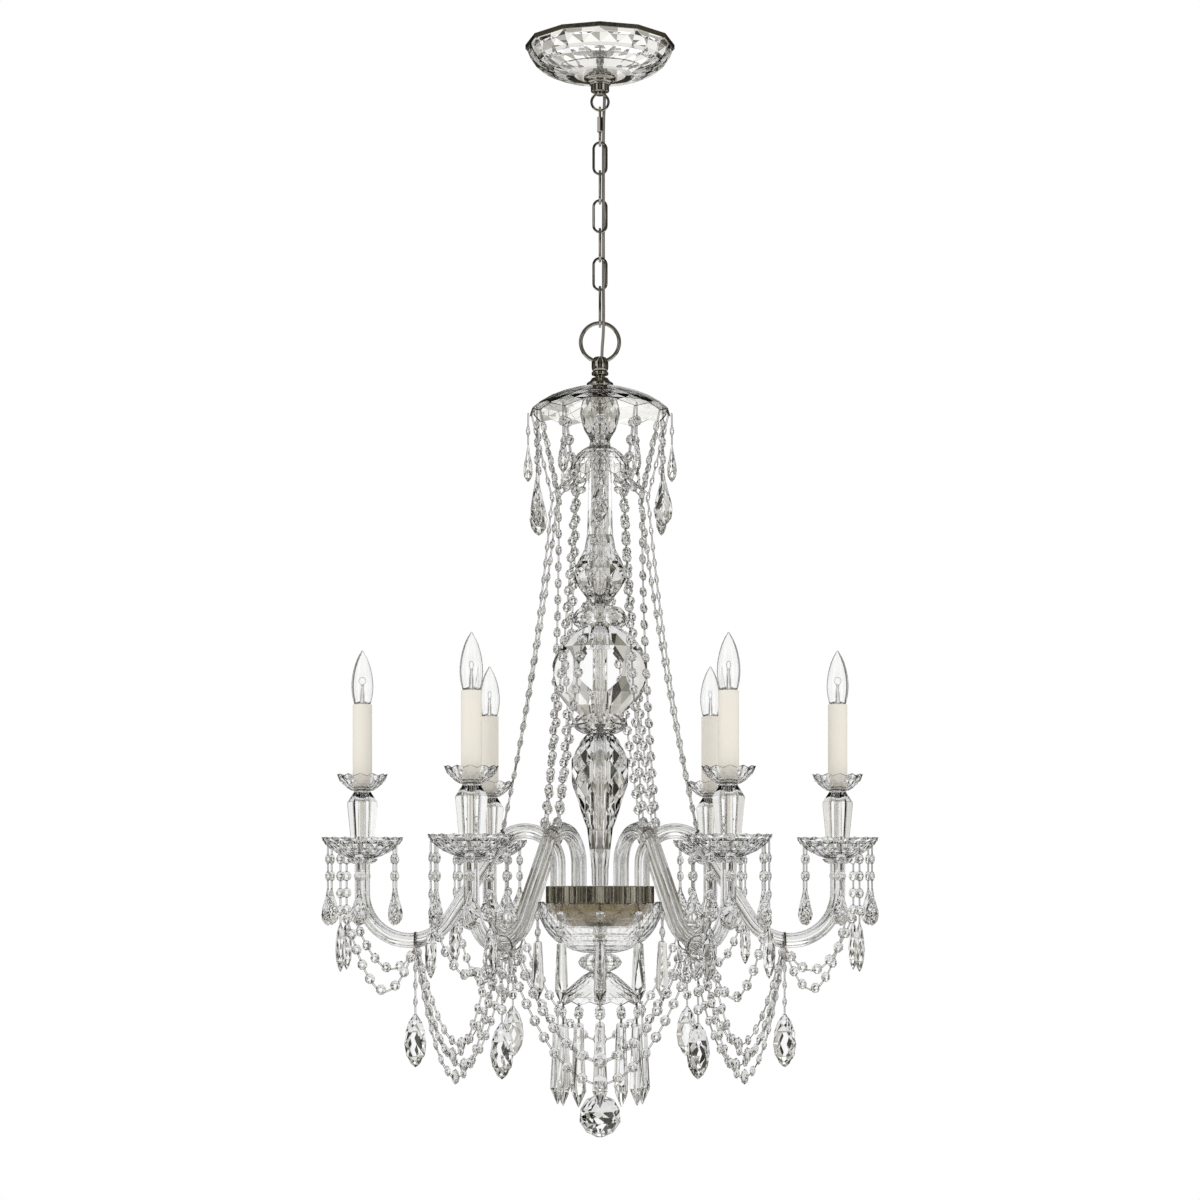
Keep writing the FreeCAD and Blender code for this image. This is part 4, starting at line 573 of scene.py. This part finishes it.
foot, head = levels("arm_cups")
cup = cut_body([(9.5, foot), (12.3, foot), (17.0, foot + 2.0, 0.5), (20.0, head - 2.5, 0.0, (0.0, 1.5)),
                (19.0, head - 0.6), (6.0, head), (6.0, head - 2.8), (9.5, head - 3.0)], 16)
crystal("arm_cups_petal", at_candles(cup), "chandelier", "arm_cups", edge=0.15)
foot, head = levels("bobeches")
outer = [(5.2, foot), (16.0, foot), (24.0, foot + 3.2, 0.0, (1.6, 0.0)), (32.6, foot + 7.2, 1.0, (1.8, 0.0)),
         (40.6, foot + 12.2, 0.0, (1.8, 0.0)), (47.2, foot + 18.4, 1.0, (1.6, 0.0)),
         (51.0, head - 4.4, 0.0, (1.2, 0.0)), (52.15, head - 1.6, 0.0, (0.8, 1.6))]
inner = [(50.2, head - 1.6, 0.0, (0.8, 1.6)), (48.8, head - 5.0), (44.6, foot + 19.2), (38.0, foot + 13.8),
         (30.0, foot + 9.4), (22.0, foot + 6.2), (15.0, foot + 4.4), (5.2, foot + 4.2)]
crystal("bobeches_cut", at_candles(cut_body(outer + inner, 36)), "chandelier", "bobeches", edge=0.15)
foot, head = levels("candle_vases")
rings = [(5.2, foot), (12.6, foot), (13.4, foot + 2.6), (16.4, foot + 32.0), (19.9, head - 17.0),
         (19.4, head - 14.6), (11.4, head - 2.4), (11.0, head), (5.2, head)]
vase = cut_body([(*ring, 0.5) for ring in rings], 3 * VASE_PANELS)
for corner in vase.verts:
    if corner.co.xy.length > 8 * MM:
        off = math.atan2(corner.co.y, corner.co.x) % (2 * math.pi / VASE_PANELS) - math.pi / VASE_PANELS
        pressed = math.cos(math.pi / VASE_PANELS) / math.cos(off)
        corner.co.x *= pressed
        corner.co.y *= pressed
crystal("candle_vases_cut", at_candles(vase), "chandelier", "candle_vases", edge=0.3)
foot, head = levels("small_bobeches")
outer = [(5.2, foot), (14.0, foot), (19.0, foot + 3.6, 0.0, (1.2, 0.0)), (24.4, foot + 8.0, 1.0, (1.3, 0.0)),
         (28.8, foot + 13.0, 0.0, (1.2, 0.0)), (32.2, head - 3.0, 0.0, (0.8, 3.0))]
inner = [(30.0, head - 3.0, 0.0, (0.8, 3.0)), (26.2, foot + 13.8), (21.8, foot + 9.4), (17.4, foot + 5.8),
         (13.0, foot + 3.4), (5.2, foot + 3.2)]
crystal("small_bobeches_cut", at_candles(cut_body(outer + inner, 24)), "chandelier", "small_bobeches",
        edge=0.12)
foot, head = levels("candle_sleeves")
outline = [(11.1, foot), (12.5, foot), (12.5, head - 0.8), (12.2, head - 0.2), (11.8, head), (11.1, head)]
piece_of("candle_sleeves_cream", at_candles(turned(outline, 48)),
         finish_of("cream_sleeve", 300, 0.9, 0.05, Base_Color=(0.92, 0.87, 0.77, 1)),
         "cream_sleeve", "chandelier", "candle_sleeves", smooth=40)
# The candle pipes take the nickel copy whose base colour is painted lighter, as painted light inside the
# glass.
for node, material in (
        ("candle_pipes", painted_light_nickel),
        ("lamp_sockets", finish_of("moulded_black", 300, 0.9, 0.2, Base_Color=(0.02, 0.02, 0.02, 1)))):
    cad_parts[node].data.materials.clear()
    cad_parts[node].data.materials.append(material)

# --- bulbs -------------------------------------------------------------------------------------------------
# Clear pointed candle bulbs, blown thin, each with a glass stem and one loop of tungsten wire inside, on a
# nickel-plated screw base that goes down into the lamp holder.
bulb_glass = finish_of("bulb_glass", 40, 0.01, 0.02, Base_Color=(1, 1, 1, 1), Transmission_Weight=1.0,
                       IOR=1.45)
tungsten = finish_of("tungsten", 900, 0.8, 0.1, Base_Color=(0.30, 0.29, 0.28, 1), Metallic=1.0)
BULB_FOOT = -857.45
BULB_OUTSIDE = [(10.5, 0.4), (11.8, 4.0), (13.0, 10.0), (13.9, 17.0), (14.2, 23.0), (13.9, 30.0),
                (12.9, 38.0), (11.2, 46.0), (8.8, 54.0), (5.8, 61.0), (3.0, 66.0), (1.4, 68.8), (0.0, 70.0)]
BULB_WALL = 0.7

for n in range(1, 7):
    body = f"candle_bulb_{n}"
    turn = Matrix.Rotation(math.radians(60 * (n - 1)), 4, "Z")
    place = turn @ Matrix.Translation(Vector((CANDLE_CIRCLE, 0, BULB_FOOT)) * MM)
    inside = [(max(radius - BULB_WALL, 0), height) for radius, height in BULB_OUTSIDE[:-1]] + [(0, 68.4)]
    shell = turned([(9.2, 0)] + BULB_OUTSIDE + inside[::-1], 40)
    shell.transform(place)
    piece_of(f"bulb_shell_{n}", shell, bulb_glass, "bulb_glass", body, body, smooth=40)
    stem = turned([(0, 1.0), (9.6, 1.0), (3.4, 4.0), (2.8, 14.0), (1.6, 22.0), (2.2, 25.0), (0, 26.0)], 16)
    stem.transform(place)
    piece_of(f"bulb_stem_{n}", stem, bulb_glass, "bulb_glass", body, smooth=50)
    filament = wire_ring(4.6, 0.28, 30.2, 6, 24)
    filament.transform(place)
    piece_of(f"bulb_filament_{n}", filament, tungsten, "polished_nickel", body, smooth=50)
    base = turned([(0, -27.3), (4.0, -27.3), (6.9, -23.3), (6.9, -0.4), (0, -0.4)], 24)
    base.transform(place)
    nickel(f"bulb_base_{n}", base, body)

# --- arm rings and shoulder hoops --------------------------------------------------------------------------
# Thin bands of plated wire strip: a ring hangs round the lowest part of each arm and carries the swags and a
# pendant, and a hoop on each shoulder holds the ends of the two long strands.
RING_CENTRE = Vector((240.0, 0, -1168.45))
HOOP_PLACE = 54.5


def strip_band(inner, outer, width, lean, centre):
    """Band of metal strip about an axis that leans from upright, with its edges rounded."""
    half, soft = width / 2, 0.25
    band = turned([(inner, -half + soft), (inner + soft, -half), (outer - soft, -half),
                   (outer, -half + soft), (outer, half - soft), (outer - soft, half), (inner + soft, half),
                   (inner, half - soft)], 48)
    bmesh.ops.rotate(band, matrix=Matrix.Rotation(math.radians(lean), 3, "Y"), verts=band.verts)
    bmesh.ops.translate(band, vec=Vector(centre) * MM, verts=band.verts)
    return band


over = Vector((math.cos(math.radians(HOOP_PLACE)), 0, math.sin(math.radians(HOOP_PLACE))))
bands = strip_band(13.8, 15.2, 2.8, 90, RING_CENTRE)
join(bands, strip_band(10.0, 11.4, 2.4, -HOOP_PLACE, SHOULDER + over * SHOULDER_RADIUS))
nickel("arm_bands", six_times(bands), "chandelier", "arm_hoops", smooth=40)

# --- strings of crystal ------------------------------------------------------------------------------------
# Octagons, pears, almonds, flat-sided prisms and a faceted ball, all cut from lead crystal. The drops and the
# prisms have a flat table front and back. A closed loop of thin plated wire joins every two pieces.
BEAD_SIZE = 14.0
LOOP_REACH = 1.4        # how far a wire loop goes into the piece at each end
LOOP_BEND = 1.1
LOOP_WIRE = 0.5
DROP_WIDTH, DROP_HEIGHT = 20.0, 100.0
PRISM_TABLE, PEAR_TABLE, ALMOND_TABLE = 0.72, 0.86, 0.88
HANG_TURNS = (44, -36, 38, -48)         # degrees that hanging pieces have turned on their wires


def shape_of(bm, table=None):
    """Mesh to be copied. table grinds flats on front and back, at that share of half the thickness."""
    if table:
        for side in (1, -1):
            flat = Vector((0, side * table * DROP_WIDTH / 2 * MM, 0))
            geom = bm.verts[:] + bm.edges[:] + bm.faces[:]
            bmesh.ops.bisect_plane(bm, geom=geom, plane_co=flat, plane_no=(0, side, 0), clear_outer=True)
            bmesh.ops.holes_fill(bm, edges=[edge for edge in bm.edges if edge.is_boundary], sides=0)
    mesh = bpy.data.meshes.new("shape")
    bm.to_mesh(mesh)
    bm.free()
    return mesh


def separate_solids(node):
    """Corners of each separate solid of a CAD node."""
    bm = bmesh.new()
    bm.from_mesh(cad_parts[node].data)
    bm.transform(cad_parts[node].matrix_world)
    bmesh.ops.remove_doubles(bm, verts=bm.verts, dist=1e-6)
    solids = []
    for seed in bm.verts:
        if seed.tag:
            continue
        seed.tag = True
        solid = [seed]
        for corner in solid:
            for edge in corner.link_edges:
                other = edge.other_vert(corner)
                if not other.tag:
                    other.tag = True
                    solid.append(other)
        solids.append([corner.co.copy() for corner in solid])
    bm.free()
    return solids


def set_in(bm, shape, across, front, up, place):
    """Adds a copy of a shape, its X, Y and Z turned and stretched to three vectors, its origin at a place."""
    copy = shape.copy()
    copy.transform(Matrix.Translation(place) @ Matrix((across, front, up)).transposed().to_4x4())
    bm.from_mesh(copy)
    bpy.data.meshes.remove(copy)


def middle_of(corners):
    return sum(corners, Vector()) / len(corners)


def set_octagon(bm, corners):
    """Octagon: its two middle corners give the way it faces, and any of its eight outer ones a tip."""
    centre = middle_of(corners)
    ranked = sorted(corners, key=lambda corner: (corner - centre).length)
    front, tip = (ranked[1] - ranked[0]) / 2, ranked[-1] - centre
    side = front.cross(tip).normalized() * tip.length
    unit = BEAD_SIZE / 2 * MM
    set_in(bm, OCTAGON, tip / unit, side / unit, front / unit, centre)


def set_loop(bm, corners):
    """Wire loop in place of a straight pin, each of whose ends has the three corners nearest each other."""
    ranked = sorted(corners, key=lambda corner: (corner - corners[0]).length)
    start, end = middle_of(ranked[:3]), middle_of(ranked[3:])
    up = (end - start).normalized()
    across = up.orthogonal().normalized()
    place = middle_of([start, end])
    first = len(bm.verts)
    set_in(bm, WIRE_LOOP, across, up.cross(across), up, place)
    bm.verts.ensure_lookup_table()
    stretch = max((end - start).length / 2 + (LOOP_REACH - LOOP_BEND) * MM, 0)
    for corner in bm.verts[first:]:
        corner.co += up * math.copysign(stretch, (corner.co - place).dot(up))


def set_drop(bm, shape, table, turn, corners):
    """Hanging piece: its highest corners give the hook, its widest pair the width. It is turned by so many
    degrees, or less where it would then hang out of the CAD's box."""
    heights = [corner.z for corner in corners]
    top = [corner for corner in corners if max(heights) - corner.z < 1e-5]
    pairs = [(a, b) for a in corners for b in corners if abs(a.z - b.z) < 1e-5]
    left, right = max(pairs, key=lambda pair: (pair[1] - pair[0]).length)
    across = right - left
    level = across.normalized().cross(Vector((0, 0, 1)))
    reach = [corner.dot(level) for corner in corners]
    front = level * (max(reach) - min(reach)) / table
    hook = middle_of(top)
    for angle in (turn, turn / 3, 0):
        spin = Matrix.Rotation(math.radians(angle), 3, "Z")
        wide, thick = spin @ across, spin @ front
        if all(abs(hook[n]) + math.hypot(wide[n], thick[n] * table) / 2 < cad_box[1][n] for n in (0, 1)):
            break
    set_in(bm, shape, wide / (DROP_WIDTH * MM), thick / (DROP_WIDTH * MM),
           Vector((0, 0, max(heights) - min(heights))) / (DROP_HEIGHT * MM), hook)


OCTAGON = shape_of(cut_body([(2.4, 5.6), (5.0, 3.6, 0.5), (7.0, 0.9), (7.0, -0.9), (5.0, -3.6, 0.5),
                             (2.4, -5.6)], 8, closed=False))
WIRE_LOOP = bmesh.new()
bmesh.ops.create_circle(WIRE_LOOP, segments=4, radius=LOOP_WIRE * MM)
bmesh.ops.translate(WIRE_LOOP, vec=(LOOP_BEND * MM, 0, 0), verts=WIRE_LOOP.verts)
bmesh.ops.rotate(WIRE_LOOP, matrix=Matrix.Rotation(math.pi / 8, 3, "Y"), verts=WIRE_LOOP.verts)
bmesh.ops.spin(WIRE_LOOP, geom=WIRE_LOOP.verts[:] + WIRE_LOOP.edges[:], cent=(0, 0, 0), axis=(0, 1, 0),
               angle=2 * math.pi, steps=8, use_merge=True)
WIRE_LOOP = shape_of(WIRE_LOOP)
PEAR = shape_of(cut_body([(1.2, 0), (2.6, -14), (5.4, -34, 0.5), (8.6, -54), (10.2, -70, 0.5), (8.6, -85),
                          (4.6, -95, 0.5), (0.6, -100)], 8, False), PEAR_TABLE)
ALMOND = shape_of(cut_body([(1.2, 0), (5.6, -14, 0.5), (8.8, -34), (9.6, -56, 0.5), (8.2, -78),
                            (4.2, -93, 0.5), (0.6, -100)], 8, False), ALMOND_TABLE)
PRISM = shape_of(cut_body([(4.2, 0), (6.2, -2.5), (10.0, -80), (0.6, -100)], 8, False), PRISM_TABLE)
STRING_BALL_RADIUS = 27.9
STRING_BALL_ROWS = (80, 50, 17, -17, -50, -80)      # degrees above and below its middle
rings = [(STRING_BALL_RADIUS * math.cos(math.radians(row)), STRING_BALL_RADIUS * math.sin(math.radians(row)),
          0.5 * (n % 2)) for n, row in enumerate(STRING_BALL_ROWS)]
STRING_BALL = shape_of(cut_body(rings, 10, False))
PIN_CORNERS, OCTAGON_CORNERS = 6, 10                # how many corners each kind has in the CAD
DROPS = {17: (PRISM, PRISM_TABLE), 25: (PEAR, PEAR_TABLE), 33: (ALMOND, ALMOND_TABLE)}

pin_wire = finish_of("pin_wire", 900, 0.4, 0.1, Base_Color=(0.26, 0.24, 0.21, 1), Metallic=1.0)
dressed = {node: "chandelier" for node in ("octagons", "crystal_drops", "prisms", "string_pins")}
dressed.update({f"arm_pendant_{n}": f"arm_pendant_{n}" for n in range(1, 7)})
dressed["bottom_ball"] = "bottom_ball"
for node, body in dressed.items():
    cut, wires = bmesh.new(), bmesh.new()
    turns = itertools.cycle((62,) if node in ("arm_pendant_1", "arm_pendant_4") else
                            (0,) if "pendant" in node else HANG_TURNS)
    for corners in separate_solids(node):
        if len(corners) == PIN_CORNERS:
            set_loop(wires, corners)
        elif len(corners) == OCTAGON_CORNERS:
            set_octagon(cut, corners)
        elif len(corners) in DROPS:
            set_drop(cut, *DROPS[len(corners)], next(turns), corners)
        else:
            heights = [corner.z for corner in corners]
            centre = Vector((0, 0, max(heights) / 2 + min(heights) / 2))
            set_in(cut, STRING_BALL, *Matrix.Identity(3), centre)
    if cut.verts:
        crystal(f"{node}_cut", cut, body, node, edge=0)
    else:
        cut.free()
    if wires.verts:
        piece_of(f"{node}_wire", wires, pin_wire, "polished_nickel", body, node, smooth=60)
    else:
        wires.free()
for shape in (OCTAGON, WIRE_LOOP, PEAR, ALMOND, PRISM, STRING_BALL):
    bpy.data.meshes.remove(shape)

# --- floor, daylight and lamps -----------------------------------------------------------------------------
# Pale floor well below the chandelier. The room is white to the camera and plain to matt surfaces. Glass sees
# white walls with dark corners, metal sees narrow bright windows, and two lamps stand in front, one behind.
FLOOR_LEVEL = -2.4

floor_mesh = bpy.data.meshes.new("floor")
slab = bmesh.new()
bmesh.ops.create_grid(slab, x_segments=1, y_segments=1, size=4.0)
bmesh.ops.translate(slab, vec=(0, 0, FLOOR_LEVEL), verts=slab.verts)
slab.to_mesh(floor_mesh)
slab.free()
floor_mesh.materials.append(finish_of("pale_floor", 4, 1.4, 0.1, Base_Color=(0.86, 0.86, 0.86, 1)))
floor = bpy.data.objects.new("floor", floor_mesh)
bpy.context.scene.collection.objects.link(floor)

world = bpy.data.worlds.new("studio")
bpy.context.scene.world = world
world.use_nodes = True
tree = world.node_tree
sky = tree.nodes["Background"]
look = tree.nodes.new("ShaderNodeTexCoord")
parts = tree.nodes.new("ShaderNodeSeparateXYZ")
rise = tree.nodes.new("ShaderNodeValToRGB")
around = tree.nodes.new("ShaderNodeTexGradient")
around.gradient_type = "RADIAL"
quarter = tree.nodes.new("ShaderNodeMath")
quarter.operation = "MULTIPLY"
quarter.inputs[1].default_value = 4.0
part_turn = tree.nodes.new("ShaderNodeMath")
part_turn.operation = "FRACT"
panels = tree.nodes.new("ShaderNodeValToRGB")
strips = tree.nodes.new("ShaderNodeValToRGB")
height = tree.nodes.new("ShaderNodeMath")
height.operation = "ABSOLUTE"
walls, room, plain, shown = (tree.nodes.new("ShaderNodeMix") for _ in range(4))
for mixed in (walls, room, plain, shown):
    mixed.data_type = "RGBA"
room.blend_type = "MULTIPLY"
room.inputs["Factor"].default_value = 1.0
plain.inputs["A"].default_value = (0.95, 0.95, 0.95, 1)
shown.inputs["B"].default_value = (1, 1, 1, 1)
seen = tree.nodes.new("ShaderNodeLightPath")
polish_or_glass = tree.nodes.new("ShaderNodeMath")
polish = tree.nodes.new("ShaderNodeMath")
polish.operation = "SUBTRACT"
for ramp, stops in (
        (rise, [(0.0, 1.0), (0.16, 1.0), (0.20, 0.50), (0.30, 0.35), (0.40, 0.80), (0.78, 0.80), (0.86, 0.60),
                (1.0, 0.50)]),
        (panels, [(0.0, 1.0), (0.10, 1.0), (0.11, 0.04), (0.16, 0.03), (0.17, 0.65), (0.21, 0.55),
                  (0.22, 0.03), (0.26, 0.05), (0.28, 0.75), (0.48, 0.80), (0.50, 1.0), (0.60, 1.0),
                  (0.62, 0.60), (0.72, 0.50), (0.74, 0.05), (0.78, 0.03), (0.79, 0.55), (0.83, 0.65),
                  (0.84, 0.03), (0.89, 0.04), (0.90, 1.0)]),
        (strips, [(0.0, 0.25), (0.04, 0.05), (0.12, 0.05), (0.13, 1.0), (0.155, 1.0), (0.165, 0.04),
                  (0.23, 0.05), (0.25, 0.40), (0.27, 0.05), (0.335, 0.04), (0.345, 1.0), (0.37, 1.0),
                  (0.38, 0.05), (0.46, 0.05), (0.50, 0.25), (0.54, 0.05), (0.72, 0.05), (0.75, 0.35),
                  (0.78, 0.05), (0.96, 0.05), (1.0, 0.25)])):
    elements = ramp.color_ramp.elements
    while len(elements) < len(stops):
        elements.new(0.5)
    for element, (place, level) in zip(elements, stops):
        element.position = place
        element.color = (level, level * (0.95 + 0.05 * level), level * (0.76 + 0.24 * level), 1)
for start, end in (
        (look.outputs["Generated"], parts.inputs[0]), (parts.outputs["Z"], height.inputs[0]),
        (height.outputs[0], rise.inputs["Fac"]), (look.outputs["Generated"], around.inputs["Vector"]),
        (around.outputs["Fac"], quarter.inputs[0]), (quarter.outputs[0], part_turn.inputs[0]),
        (part_turn.outputs[0], panels.inputs["Fac"]), (around.outputs["Fac"], strips.inputs["Fac"]),
        (panels.outputs["Color"], walls.inputs["A"]), (strips.outputs["Color"], walls.inputs["B"]),
        (seen.outputs["Is Glossy Ray"], polish.inputs[0]),
        (seen.outputs["Is Transmission Ray"], polish.inputs[1]),
        (polish.outputs[0], walls.inputs["Factor"]), (rise.outputs["Color"], room.inputs["A"]),
        (walls.outputs["Result"], room.inputs["B"]), (room.outputs["Result"], plain.inputs["B"]),
        (seen.outputs["Is Glossy Ray"], polish_or_glass.inputs[0]),
        (seen.outputs["Is Transmission Ray"], polish_or_glass.inputs[1]),
        (polish_or_glass.outputs[0], plain.inputs["Factor"]), (plain.outputs["Result"], shown.inputs["A"]),
        (seen.outputs["Is Camera Ray"], shown.inputs["Factor"]),
        (shown.outputs["Result"], sky.inputs["Color"])):
    tree.links.new(start, end)
for name, place, size, energy in (("key_lamp", (-2.8, -2.0, 0.6), 1.6, 6),
                                  ("fill_lamp", (2.6, -2.2, -0.4), 1.8, 3),
                                  ("back_lamp", (0.6, 2.8, 0.4), 1.4, 3)):
    lamp = bpy.data.lights.new(name, "AREA")
    lamp.size = size
    lamp.energy = energy
    holder = bpy.data.objects.new(name, lamp)
    holder.location = place
    aim = Vector((0, 0, -0.9)) - Vector(place)
    holder.rotation_euler = aim.to_track_quat("-Z", "Y").to_euler()
    bpy.context.scene.collection.objects.link(holder)
